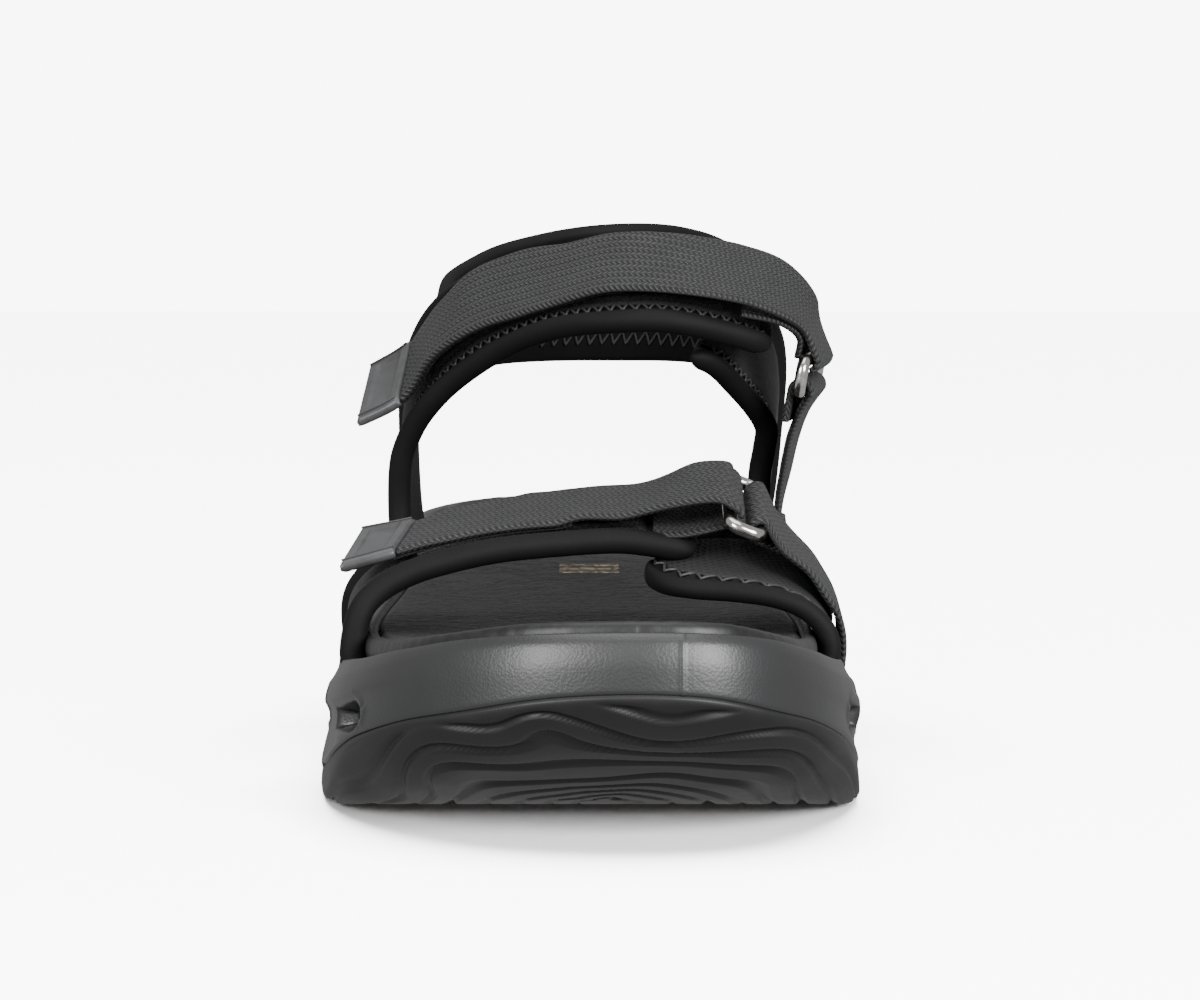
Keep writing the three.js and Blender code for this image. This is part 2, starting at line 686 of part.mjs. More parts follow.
const forefootMedial = bandSurface(
  forefootPoints([
    [43, -63, 18], [44.6, -63, 26], [43, -63, 31], [39.3, -63, 34.4], [34, -62.5, 36.2],
    [27, -61.5, 36.9], [19.5, -60, 37], [13, -57.5, 37.6],
  ]),
  forefootPoints([
    [42.8, -26, 18], [44.8, -26, 27], [44.4, -26, 33], [42.2, -26, 38], [38.6, -26.5, 41.4],
    [33.5, -27.5, 43.8], [26.8, -29, 44.8], [18, -31, 44.2],
  ]), -1);

const forefootFrame = ringFrame(
  forefootPoints([[26, -37.5, 53]])[0], new THREE.Vector3(0, 25, 6), new THREE.Vector3(-5.1, 0, 2.2));

// ---- instep and heel bands ----

const instepLateral = bandSurface(
  instepPoints([
    [-36.8, 46, 27], [-38.4, 46, 42], [-38.6, 44, 54.5], [-37, 42, 59.8], [-33.6, 38, 65.7],
    [-27.1, 32, 73], [-17.8, 24, 79.6], [-7.7, 15, 84.1], [4.2, 7, 86], [15.9, 4, 86.2],
    [27.7, 8, 84], [36.5, 13, 80.5],
  ]),
  instepPoints([
    [-35.5, 74, 27], [-37, 74, 42], [-38, 72, 56], [-38, 70, 66], [-36.5, 66, 76],
    [-32, 60, 85], [-24, 52, 91.5], [-12, 44, 96], [0, 36, 98], [10, 31, 98.6],
    [20, 30, 96.8], [30, 32, 92.4], [37.5, 35, 86],
  ]), 1);

const instepMedial = bandSurface(
  instepPoints([
    [34.9, 44, 27], [34.9, 44, 42], [35, 43, 52.3], [35.6, 40, 58.2], [35.8, 36, 62.6],
    [33.3, 30, 66.9], [29.2, 22, 71.7], [25, 15, 75.8], [20, 11, 78.5],
  ]),
  instepPoints([
    [34.9, 74, 27], [36.4, 74, 42], [38, 73, 55], [38.8, 69, 66], [38.8, 61, 76],
    [37, 51, 82.5], [33.5, 42, 85.5], [28, 36, 86.5],
  ]), -1);

const instepFrame = ringFrame(
  instepPoints([[44.9, 30.5, 77.2]])[0], new THREE.Vector3(4, 25, 0.5), new THREE.Vector3(0.85, 0, 5));

const buttGap = 2.2; // from a leg's rear edge to the heel strap sewn to it

// The heel strap's ends lie just behind the rear edges of the two legs.
function heelSurface() {
  const behind = (band, u) => {
    const rear = band.point(u, 1);
    const back = rear.clone().sub(band.point(u, 0)).setLength(buttGap);
    return rear.add(back);
  };
  const lateralLow = 0.31;
  const lateralHigh = 0.5;
  const medialLow = 0.36;
  const medialHigh = 0.62;
  const lower = [
    behind(instepLateral, lateralLow),
    ...instepPoints([
      [-37, 84, 66], [-31, 100, 71], [-18, 113.5, 74], [4, 118.5, 74.5],
      [24, 112, 74], [34, 99, 71.5], [38, 84, 66],
    ]),
    behind(instepMedial, medialLow),
  ];
  const upper = [
    behind(instepLateral, lateralHigh),
    ...instepPoints([
      [-30, 75, 93], [-24, 95, 98.5], [-13, 109, 102], [4, 115, 103],
      [19, 109, 102], [30, 95, 98.5], [36, 76, 92],
    ]),
    behind(instepMedial, medialHigh),
  ];
  return bandSurface(lower, upper, -1);
}

// ---- assembly ----

const forefootCentre = (u) => THREE.MathUtils.lerp(0.66, 0.36, u);
const instepCentre = (u) => THREE.MathUtils.lerp(0.5, 0.52, u);

const forefootPlan = {
  centre: forefootCentre,
  pile: [0.36, 0.83],
  pileSteps: 9,
  lower: [[0.985, webbingOnBand], [0.93, webbingOnBand], [0.85, webbingOnBand]],
  upper: [
    [0.93, 8], [0.85, 5.6], [0.76, engaged], [0.66, engaged],
    [0.56, engaged], [0.46, engaged], [0.385, engaged],
  ],
  tip: [forefootPoints([[-45.5, -53, 41.6], [-42.7, -29, 46.3]])],
  split: 0.29,
  nearSteps: 6,
  endSteps: 8,
  hook: [0.36, 0.8],
};

const instepPlan = {
  centre: instepCentre,
  pile: [0.34, 0.86],
  pileSteps: 12,
  lower: [[0.99, webbingOnBand + 0.8], [0.94, webbingOnBand + 0.2], [0.88, webbingOnBand]],
  upper: [
    [0.96, 9], [0.88, 6.5], [0.8, engaged + 0.5], [0.7, engaged + 0.2],
    [0.6, engaged + 0.1], [0.5, engaged + 0.2], [0.41, engaged + 0.5],
  ],
  tip: [instepPoints([[-46.6, 40, 63.1], [-44.6, 59, 75]])],
  split: 0.36,
  nearSteps: 9,
  endSteps: 9,
  hook: [0.43, 0.8],
};

const forefootHolderPlan = {
  laid: [
    [0.5, 0.6, 4.4], [0.36, 0.61, 2.6], [0.22, 0.61, webbingOnBand],
    [0.1, 0.61, webbingOnBand], [0, 0.61, webbingOnBand],
  ],
  returnLength: 5,
  steps: 14,
  slotShare: 0.36,
};

const instepHolderPlan = {
  laid: [
    [0.44, 0.36, 3.4], [0.33, 0.38, 2.6], [0.2, 0.44, webbingOnBand],
    [0.1, 0.5, webbingOnBand], [0, 0.5, webbingOnBand],
  ],
  returnLength: 5,
  steps: 14,
  slotShare: 0.3,
};

addBand("forefoot_lateral", forefootLateral, 16);
addBand("forefoot_medial", forefootMedial, 12);
addBand("instep_lateral", instepLateral, 20);
addBand("instep_medial", instepMedial, 14);
addBand("heel_strap", heelSurface(), 18);
addClosure("forefoot", forefootLateral, forefootFrame, forefootPlan);
addClosure("instep", instepLateral, instepFrame, instepPlan);
const holderSlots = [
  addRingHolder("forefoot", forefootMedial, forefootFrame, forefootHolderPlan),
  addRingHolder("instep", instepMedial, instepFrame, instepHolderPlan),
];
const threadBase = bandHalf + gap;
addPiece("forefoot_lateral_stitching", zigzag(forefootLateral, 0.3, 0.82, threadBase), "thread");
addPiece("forefoot_medial_stitching", zigzag(forefootMedial, 0.25, 0.62, threadBase), "thread");
addPiece("instep_lateral_stitching", zigzag(instepLateral, 0.2, 0.84, threadBase), "thread");
addPiece("instep_medial_stitching", zigzag(instepMedial, 0.62, 0.9, threadBase), "thread");

const bandSlots = [
  slotAround(forefootLateral, 0.2, -bandHalf, bandHalf),
  slotAround(forefootMedial, 0.24, -bandHalf, bandHalf),
  slotAround(instepLateral, 0.2, -bandHalf, bandHalf),
  slotAround(instepMedial, 0.24, -bandHalf, bandHalf),
];
addPiece("outsole", outsole(), "rubber");
addPiece("midsole", midsole([...bandSlots, ...holderSlots, shank(slotClearance)]), "foam");
addPiece("shank", shank(), "nylon");
addPiece("insole_board", insoleBoard(), "board");
addPiece("footbed_foam", footbedFoam(), "padding");
addPiece("footbed_cover", footbedCover(), "leather");
addPiece("footbed_binding", footbedBinding(), "binding");
addPiece("footbed_foil_mark", foilMark(), "foil");

sandal.userData.hinges = hinges;
export default sandal;
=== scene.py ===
import json

import bmesh
import bpy
import numpy as np
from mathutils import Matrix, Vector


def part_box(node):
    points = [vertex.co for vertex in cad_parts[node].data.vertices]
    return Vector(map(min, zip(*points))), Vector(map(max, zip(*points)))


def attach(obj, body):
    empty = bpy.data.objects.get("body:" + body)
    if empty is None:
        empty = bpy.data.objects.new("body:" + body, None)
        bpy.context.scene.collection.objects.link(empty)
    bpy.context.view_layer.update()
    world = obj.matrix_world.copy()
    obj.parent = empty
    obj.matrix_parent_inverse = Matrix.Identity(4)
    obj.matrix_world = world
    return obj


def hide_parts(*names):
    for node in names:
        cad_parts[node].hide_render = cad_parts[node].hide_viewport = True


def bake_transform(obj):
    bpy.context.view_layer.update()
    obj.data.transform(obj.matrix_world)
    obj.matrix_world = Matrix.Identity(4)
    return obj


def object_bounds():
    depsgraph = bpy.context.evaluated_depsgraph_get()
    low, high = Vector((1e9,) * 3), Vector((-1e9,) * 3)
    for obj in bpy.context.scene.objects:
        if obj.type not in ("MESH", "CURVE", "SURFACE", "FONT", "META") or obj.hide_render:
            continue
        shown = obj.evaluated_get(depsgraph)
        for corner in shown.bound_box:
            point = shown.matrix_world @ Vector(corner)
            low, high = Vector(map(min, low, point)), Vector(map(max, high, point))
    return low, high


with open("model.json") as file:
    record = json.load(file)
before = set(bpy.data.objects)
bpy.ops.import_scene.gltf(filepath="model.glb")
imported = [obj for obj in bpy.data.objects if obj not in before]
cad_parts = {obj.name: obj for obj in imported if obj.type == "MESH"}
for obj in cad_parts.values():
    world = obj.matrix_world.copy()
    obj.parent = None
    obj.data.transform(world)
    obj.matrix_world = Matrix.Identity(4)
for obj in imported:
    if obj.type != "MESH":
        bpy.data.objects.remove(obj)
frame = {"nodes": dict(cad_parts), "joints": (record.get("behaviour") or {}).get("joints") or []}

cadBox = [list(corner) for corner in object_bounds()]
joints = {joint["name"]: joint for joint in frame["joints"]}
print("frame loaded:", len(frame["nodes"]), "nodes")

# Shapes are worked out in millimetres. Drawn points belong to a sole of this size and are
# moved with the real one.
drawnSole = {"length": 267.7, "width": 99.3}
millimetre = 0.001
soleLow, soleHigh = [np.array(corner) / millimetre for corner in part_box("outsole")]
widthScale = (soleHigh[0] - soleLow[0]) / drawnSole["width"]
lengthScale = (soleHigh[1] - soleLow[1]) / drawnSole["length"]
soleFront = soleLow[1]


# Catmull-Rom curve through the points, resampled at even steps of its length.
def smoothPath(points, count, closed=False):
    p = np.asarray(points, float)
    if closed:
        p = np.vstack([p[-1], p, p[0], p[1]])
    else:
        p = np.vstack([2 * p[0] - p[1], p, 2 * p[-1] - p[-2]])
    t = np.linspace(0, 1, 24, endpoint=False)[None, :, None]
    a, b, c, d = p[:-3, None], p[1:-2, None], p[2:-1, None], p[3:, None]
    square, cube = 2 * a - 5 * b + 4 * c - d, 3 * b - a - 3 * c + d
    curve = 0.5 * (2 * b + (c - a) * t + square * t**2 + cube * t**3)
    return evenSteps(np.vstack([curve.reshape(-1, p.shape[1]), p[-2]]), count)


# Path resampled at even steps of its length.
def evenSteps(path, count):
    run = np.r_[0, np.cumsum(np.linalg.norm(np.diff(path, axis=0), axis=1))]
    at = np.linspace(0, run[-1], count)
    return np.stack([np.interp(at, run, path[:, k]) for k in range(path.shape[1])], axis=1)


# Each vector over its own length.
def unitRows(v):
    return v / np.maximum(np.linalg.norm(v, axis=-1, keepdims=True), 1e-12)


# Rise from 0 at low to 1 at high: 3 t^2 - 2 t^3.
def smoothStep(low, high, x):
    t = np.clip((x - low) / (high - low), 0, 1)
    return t * t * (3 - 2 * t)


# Drawn points moved with the real sole's width and length.
def placed(points):
    return np.asarray(points, float) * [widthScale, lengthScale, 1]


# Smooth repeatable roughness in [-1, 1]: a few crossing sine waves.
def ripple(a, b, size):
    a, b = a / size, b / size
    return (np.sin(1.7 * a + 2.3 * np.sin(0.9 * b)) + np.sin(2.9 * b + 1.3 * np.sin(1.4 * a))
            + np.sin(2.1 * (a + b) + 0.7)) / 3


# Mesh from a grid of points (rows, columns, 3) whose rows are closed rings; the last row joins the
# first in a loop, or caps fill the first and last rows.
def gridPiece(name, grid, loop=False, caps=True, uv=None, weld=0.0):
    rows, columns = grid.shape[:2]
    index = np.arange(rows * columns).reshape(rows, columns)
    right = np.roll(index, -1, axis=1)
    if loop:
        quads = np.stack([index, right, np.roll(right, -1, 0), np.roll(index, -1, 0)], -1).reshape(-1, 4)
    else:
        quads = np.stack([index[:-1], right[:-1], right[1:], index[1:]], -1).reshape(-1, 4)
    faces = quads.tolist()
    if caps and not loop:
        faces += [index[0][::-1].tolist(), index[-1].tolist()]
    mesh = bpy.data.meshes.new(name)
    mesh.from_pydata((grid.reshape(-1, 3) * millimetre).tolist(), [], faces)
    if uv is not None:
        layer = mesh.uv_layers.new(name="weave")
        corners = np.empty(len(mesh.loops), dtype=np.int32)
        mesh.loops.foreach_get("vertex_index", corners)
        layer.data.foreach_set("uv", uv.reshape(-1, 2)[corners].astype(np.float32).ravel())
    return finishedPiece(name, mesh, weld)


# Object for a mesh: points closer than the weld length joined, faces turned outward, smooth shading.
def finishedPiece(name, mesh, weld=0.0):
    work = bmesh.new()
    work.from_mesh(mesh)
    if weld:
        bmesh.ops.remove_doubles(work, verts=work.verts, dist=weld * millimetre)
        bmesh.ops.dissolve_degenerate(work, edges=work.edges, dist=1e-7)
    bmesh.ops.recalc_face_normals(work, faces=work.faces)
    work.to_mesh(mesh)
    work.free()
    mesh.polygons.foreach_set("use_smooth", [True] * len(mesh.polygons))
    mesh.update()
    piece = bpy.data.objects.new(name, mesh)
    bpy.context.scene.collection.objects.link(piece)
    return piece


# Gives a piece its material and the body it rides, and hides the nodes it replaces.
def dress(piece, material, body, slot, *nodes):
    piece.data.materials.clear()
    piece.data.materials.append(material)
    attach(piece, body)
    if nodes:
        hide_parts(*nodes)
    return piece


# New material with its node tree and shader.
def newMaterial(name, colour, roughness, metallic=0.0):
    material = bpy.data.materials.new(name)
    material.use_nodes = True
    shader = material.node_tree.nodes["Principled BSDF"]
    shader.inputs["Base Color"].default_value = (*colour, 1)
    shader.inputs["Roughness"].default_value = roughness
    shader.inputs["Metallic"].default_value = metallic
    return material, material.node_tree, shader


# One maths node on numbers or other nodes' outputs.
def calc(tree, operation, *values):
    node = tree.nodes.new("ShaderNodeMath")
    node.operation = operation
    for socket, value in zip(node.inputs, values):
        if isinstance(value, (int, float)):
            socket.default_value = value
        else:
            tree.links.new(value, socket)
    return node.outputs[0]


def noiseAt(tree, place, scale, detail=3.0, rough=0.55):
    node = tree.nodes.new("ShaderNodeTexNoise")
    node.inputs["Scale"].default_value = scale
    node.inputs["Detail"].default_value = detail
    node.inputs["Roughness"].default_value = rough
    tree.links.new(place, node.inputs["Vector"])
    return node.outputs["Fac"]


def cellsAt(tree, place, scale, feature="F1"):
    node = tree.nodes.new("ShaderNodeTexVoronoi")
    node.feature = feature
    node.inputs["Scale"].default_value = scale
    tree.links.new(place, node.inputs["Vector"])
    return node.outputs["Distance"]


def objectPlace(tree):
    return tree.nodes.new("ShaderNodeTexCoord").outputs["Object"]


# Place in millimetres along and across a strap.
def strapPlace(tree):
    node = tree.nodes.new("ShaderNodeUVMap")
    node.uv_map = "weave"
    split = tree.nodes.new("ShaderNodeSeparateXYZ")
    tree.links.new(node.outputs["UV"], split.inputs[0])
    return node.outputs["UV"], split.outputs[0], split.outputs[1]


# Base colour through a ramp of (position, colour) stops.
def colourFrom(tree, shader, value, stops):
    node = tree.nodes.new("ShaderNodeValToRGB")
    band = node.color_ramp
    while len(band.elements) < len(stops):
        band.elements.new(0.5)
    for element, (position, colour) in zip(band.elements, stops):
        element.position = position
        element.color = (*colour, 1)
    tree.links.new(value, node.inputs["Fac"])
    tree.links.new(node.outputs["Color"], shader.inputs["Base Color"])


def shade(level, tint=(1, 1, 1)):
    return tuple(level * t for t in tint)


def bump(tree, shader, height, distance, strength=1.0):
    node = tree.nodes.new("ShaderNodeBump")
    node.inputs["Distance"].default_value = distance * millimetre
    node.inputs["Strength"].default_value = strength
    tree.links.new(height, node.inputs["Height"])
    if shader.inputs["Normal"].links:
        tree.links.new(shader.inputs["Normal"].links[0].from_socket, node.inputs["Normal"])
    tree.links.new(node.outputs["Normal"], shader.inputs["Normal"])


def roughnessFrom(tree, shader, value, low, high):
    spread = tree.nodes.new("ShaderNodeMapRange")
    spread.inputs["To Min"].default_value = low
    spread.inputs["To Max"].default_value = high
    tree.links.new(value, spread.inputs["Value"])
    tree.links.new(spread.outputs[0], shader.inputs["Roughness"])


coolGrey = (0.97, 1.0, 1.08)


# Satin moulded foam: a fine pebble grain and slow clouds of tone.
def midsoleFoam():
    material, tree, shader = newMaterial("midsoleFoam", shade(0.034, coolGrey), 0.42)
    place = objectPlace(tree)
    grain = cellsAt(tree, place, 1900)
    fine = noiseAt(tree, place, 2600, 2)
    clouds = noiseAt(tree, place, 38, 4)
    colourFrom(tree, shader, clouds, [(0.3, shade(0.010, coolGrey)), (0.7, shade(0.016, coolGrey))])
    roughnessFrom(tree, shader, clouds, 0.38, 0.48)
    coarse = calc(tree, "MULTIPLY", grain, 0.8)
    pebbles = calc(tree, "ADD", coarse, calc(tree, "MULTIPLY", fine, 0.4))
    bump(tree, shader, pebbles, 0.06, 0.5)
    shader.inputs["Specular IOR Level"].default_value = 0.8
    return material


# Matt rubber with a little dust.
def outsoleRubber():
    material, tree, shader = newMaterial("outsoleRubber", shade(0.012, coolGrey), 0.5)
    place = objectPlace(tree)
    dust = noiseAt(tree, place, 90, 5)
    fine = noiseAt(tree, place, 3000, 2)
    colourFrom(tree, shader, dust, [(0.35, shade(0.004)), (0.75, shade(0.008))])
    roughnessFrom(tree, shader, dust, 0.42, 0.62)
    bump(tree, shader, fine, 0.05, 0.35)
    return material


# Lining leather: pores, folds across the foot and a net of fine wrinkles.
def footbedLeather():
    material, tree, shader = newMaterial("footbedLeather", shade(0.03), 0.55)
    place = objectPlace(tree)
    pores = cellsAt(tree, place, 900)
    creases = noiseAt(tree, place, 160, 5, 0.7)
    mapped = tree.nodes.new("ShaderNodeMapping")
    mapped.inputs["Scale"].default_value = (0.7, 1.3, 1.0)
    tree.links.new(place, mapped.inputs["Vector"])
    folds = noiseAt(tree, mapped.outputs[0], 260, 4, 0.6)
    tone = calc(tree, "MULTIPLY", creases, folds)
    colourFrom(tree, shader, tone, [(0.1, shade(0.004)), (0.42, shade(0.02, (1.03, 1, 0.98)))])
    roughnessFrom(tree, shader, creases, 0.42, 0.68)
    bump(tree, shader, pores, 0.12, 0.7)
    bump(tree, shader, folds, 0.5, 0.8)
    bump(tree, shader, noiseAt(tree, place, 420, 5, 0.6), 0.4, 0.8)
    wander = tree.nodes.new("ShaderNodeVectorMath")
    wander.operation = "MULTIPLY_ADD"
    wander.inputs[1].default_value = (0.012, 0.012, 0.012)
    tree.links.new(noiseAt(tree, place, 90, 3), wander.inputs[0])
    tree.links.new(mapped.outputs[0], wander.inputs[2])
    cracks = cellsAt(tree, wander.outputs[0], 190, "DISTANCE_TO_EDGE")
    bump(tree, shader, calc(tree, "MINIMUM", calc(tree, "MULTIPLY", cracks, 5.0), 1.0), 0.3, 0.8)
    return material


# Smooth scuffed band round the footbed.
def bindingLeather():
    material, tree, shader = newMaterial("bindingLeather", shade(0.024), 0.4)
    place = objectPlace(tree)
    scuff = noiseAt(tree, place, 420, 4)
    colourFrom(tree, shader, scuff, [(0.3, shade(0.004)), (0.8, shade(0.011, coolGrey))])
    roughnessFrom(tree, shader, scuff, 0.34, 0.56)
    bump(tree, shader, scuff, 0.15, 0.5)
    return material


# Jersey-faced neoprene, almost black.
def neoprene(name="neoprene", level=0.0026):
    material, tree, shader = newMaterial(name, shade(level), 0.72)
    place = objectPlace(tree)
    weft = noiseAt(tree, place, 2200, 2)
    clouds = noiseAt(tree, place, 120, 3)
    colourFrom(tree, shader, clouds, [(0.3, shade(level * 0.75)), (0.75, shade(level * 1.35))])
    bump(tree, shader, weft, 0.08, 0.5)
    bump(tree, shader, clouds, 0.5, 0.25)
    shader.inputs["Specular IOR Level"].default_value = 0.22
    return material


# Twill tape: narrow lengthwise ribs whose threads slant one way and the other in turn.
def webbingTape():
    material, tree, shader = newMaterial("webbingTape", shade(0.03), 0.62)
    place, along, across = strapPlace(tree)
    rib = calc(tree, "MULTIPLY", across, 1 / 1.25)
    wave = calc(tree, "ABSOLUTE", calc(tree, "SINE", calc(tree, "MULTIPLY", rib, np.pi)))
    odd = calc(tree, "MODULO", calc(tree, "FLOOR", rib), 2.0)
    turn = calc(tree, "SUBTRACT", calc(tree, "MULTIPLY", odd, 2.0), 1.0)
    slant = calc(tree, "ADD", calc(tree, "MULTIPLY", along, 5.4),
                 calc(tree, "MULTIPLY", calc(tree, "MULTIPLY", across, 4.4), turn))
    thread = calc(tree, "ADD", calc(tree, "MULTIPLY", calc(tree, "SINE", slant), 0.5), 0.5)
    weave = calc(tree, "MULTIPLY", thread, calc(tree, "ADD", calc(tree, "MULTIPLY", wave, 0.7), 0.3))
    fuzz = noiseAt(tree, place, 3.0, 3)
    streak = noiseAt(tree, place, 0.16, 3)
    yarn = calc(tree, "ADD", calc(tree, "MULTIPLY", weave, 0.75), calc(tree, "MULTIPLY", fuzz, 0.35))
    tone = calc(tree, "MULTIPLY", yarn, calc(tree, "ADD", calc(tree, "MULTIPLY", streak, 0.7), 0.65))
    yarnTones = [(0.34, shade(0.0008)), (0.55, shade(0.005, coolGrey)), (0.8, shade(0.042, coolGrey))]
    colourFrom(tree, shader, tone, yarnTones)
    bump(tree, shader, weave, 0.36, 1.0)
    bump(tree, shader, fuzz, 0.08, 0.5)
    roughnessFrom(tree, shader, fuzz, 0.5, 0.75)
    shader.inputs["Sheen Weight"].default_value = 0.03
    return material


# Woven cover: a small checked weave of grey and black threads.
def wovenCover():
    material, tree, shader = newMaterial("wovenCover", shade(0.03), 0.8)
    place, along, across = strapPlace(tree)
    a = calc(tree, "SINE", calc(tree, "MULTIPLY", along, 2 * np.pi / 0.85))
    b = calc(tree, "SINE", calc(tree, "MULTIPLY", across, 2 * np.pi / 0.7))
    check = calc(tree, "ADD", calc(tree, "MULTIPLY", calc(tree, "MULTIPLY", a, b), 0.5), 0.5)
    fleck = noiseAt(tree, place, 2.2, 2)
    tone = calc(tree, "MULTIPLY", check, fleck)
    colourFrom(tree, shader, tone, [(0.15, shade(0.002)), (0.6, shade(0.015))])
    bump(tree, shader, check, 0.18, 0.8)
    shader.inputs["Sheen Weight"].default_value = 0.04
    return material


# Open mesh: rows of round holes, every other row set half a step along.
def openMesh():
    material, tree, shader = newMaterial("openMesh", shade(0.03), 0.75)
    along, across = strapPlace(tree)[1:]
    step = 1.5
    row = calc(tree, "FLOOR", calc(tree, "DIVIDE", across, step))
    shift = calc(tree, "MULTIPLY", calc(tree, "MODULO", row, 2.0), 0.5)
    shifted = calc(tree, "ADD", calc(tree, "DIVIDE", along, step), shift)
    u = calc(tree, "SUBTRACT", calc(tree, "FRACT", shifted), 0.5)
    v = calc(tree, "SUBTRACT", calc(tree, "FRACT", calc(tree, "DIVIDE", across, step)), 0.5)
    squares = calc(tree, "ADD", calc(tree, "MULTIPLY", u, u), calc(tree, "MULTIPLY", v, v))
    reach = calc(tree, "SQRT", squares)
    thread = calc(tree, "SMOOTH_MIN", calc(tree, "MULTIPLY", reach, 2.6), 1.0, 0.2)
    colourFrom(tree, shader, thread, [(0.5, shade(0.001)), (0.85, shade(0.010))])
    bump(tree, shader, thread, 0.35, 0.9)
    return material


# Black loop pile.
def pileFuzz():
    material, tree, shader = newMaterial("pileFuzz", shade(0.006), 0.95)
    place = objectPlace(tree)
    loops = cellsAt(tree, place, 1500)
    colourFrom(tree, shader, loops, [(0.1, shade(0.012)), (0.7, shade(0.003))])
    bump(tree, shader, loops, 0.5, 1.0)
    shader.inputs["Sheen Weight"].default_value = 0.08
    return material


# Twisted thread.
def sewingThread():
    material, tree, shader = newMaterial("sewingThread", shade(0.012), 0.5)
    place = objectPlace(tree)
    twist = noiseAt(tree, place, 5200, 2)
    colourFrom(tree, shader, twist, [(0.35, shade(0.015)), (0.7, shade(0.06))])
    bump(tree, shader, twist, 0.08, 0.6)
    return material


# Moulded tab: grey, slightly glossy, worn in patches.
def mouldedTab():
    material, tree, shader = newMaterial("mouldedTab", shade(0.04), 0.34)
    place = objectPlace(tree)
    grain = cellsAt(tree, place, 1700)
    wear = noiseAt(tree, place, 260, 4)
    colourFrom(tree, shader, wear, [(0.35, shade(0.045)), (0.8, shade(0.075, coolGrey))])
    roughnessFrom(tree, shader, wear, 0.28, 0.48)
    bump(tree, shader, grain, 0.05, 0.4)
    return material


# Plated wire with a faint haze.
def ringMetal():
    material, tree, shader = newMaterial("ringMetal", (0.66, 0.64, 0.62), 0.16, 1.0)
    place = objectPlace(tree)
    haze = noiseAt(tree, place, 700, 4)
    roughnessFrom(tree, shader, haze, 0.1, 0.28)
    colourFrom(tree, shader, haze, [(0.3, (0.5, 0.48, 0.46)), (0.7, (0.74, 0.72, 0.7))])
    return material


# Worn foil.
def foilPrint():
    material, tree, shader = newMaterial("foilPrint", (0.2, 0.16, 0.1), 0.5, 0.4)
    place = objectPlace(tree)
    wear = noiseAt(tree, place, 900, 4)
    colourFrom(tree, shader, wear, [(0.4, (0.03, 0.027, 0.022)), (0.62, (0.2, 0.165, 0.11))])
    return material


# Pieces inside the sole: a plain colour broken by cells.
def plainInner(name, colour, scale, roughness):
    material, tree, shader = newMaterial(name, colour, roughness)
    place = objectPlace(tree)
    cells = cellsAt(tree, place, scale)
    colourFrom(tree, shader, cells, [(0.1, shade(0.7, colour)), (0.8, colour)])
    bump(tree, shader, cells, 0.2, 0.6)
    return material


looks = {
    "midsole": midsoleFoam(), "outsole": outsoleRubber(), "leather": footbedLeather(),
    "binding": bindingLeather(), "neoprene": neoprene(), "lining": neoprene("lining", 0.007),
    "webbing": webbingTape(), "cover": wovenCover(), "mesh": openMesh(), "pile": pileFuzz(),
    "thread": sewingThread(), "tab": mouldedTab(), "metal": ringMetal(), "foil": foilPrint(),
    "padding": plainInner("paddingFoam", (0.05, 0.05, 0.052), 1400, 0.9),
    "board": plainInner("boardFibre", (0.25, 0.2, 0.14), 900, 0.9),
    "nylon": plainInner("shankNylon", (0.05, 0.052, 0.056), 500, 0.45),
}
print("materials made:", len(looks))


sole = {
    "columns": 640,          # half the points round the outline
    "middleEnds": 34.0,      # from the sole's tips to the ends of its middle line
    "tuck": 0.45,            # inset of the seam between outsole and midsole
    "seamGap": 0.12,
    "treadRise": 22.0,       # lift of the tread at the toe
    "treadRiseRun": 74.0,
    "heelRise": 5.0,
    "heelRiseRun": 39.0,
    "outsole": 5.0,          # height of the seam over the tread
    "toeWrap": [(-134, 0.2), (-126, 1.2), (-115, 3.4), (-103, 4.6), (-95, 4.8), (-84, 4.0), (-74, 2.8),
                (-60, 1.2), (-45, 0), (134, 0)],  # further height of the seam beside the toes
    "edgeRound": (1.0, 1.8), # rounding of the tread's edge: reach inwards and height
    "toeRound": 9.5,         # further reach of the rounding round the toe
    "ridgePitch": 5.6,
    "ridgeDepth": 0.95,
    "rim": [(-134, 37.4), (-124, 35.2), (-112, 32.3), (-90, 28.4), (-50, 25), (0, 28), (50, 36), (90, 40),
            (134, 42)],
    "foot": [(-134, 39.9), (-125, 38.0), (-112, 34.9), (-90, 31.8), (-50, 29.6), (0, 31.6), (40, 36.4),
             (70, 39.0), (90, 39.5), (134, 40)],
}

outlinePoints = [(12, -134), (-12, -130.5), (-32, -115), (-44, -90), (-49, -55), (-49.4, -25), (-47, 5),
                 (-43, 40), (-40.5, 75), (-37, 105), (-24, 127), (2, 134), (26, 126), (37, 103),
                 (40.3, 75), (41.3, 45), (44, 15), (48.6, -20), (49.6, -50), (48, -82), (41.5, -110),
                 (29, -128)]


# The outline as a closed curve, stretched to the sole's real box.
def soleOutline():
    loop = smoothPath(outlinePoints, 6000, closed=True)[:-1]
    low, high = loop.min(0), loop.max(0)
    return soleLow[:2] + (loop - low) / (high - low) * (soleHigh[:2] - soleLow[:2])


outline = soleOutline()


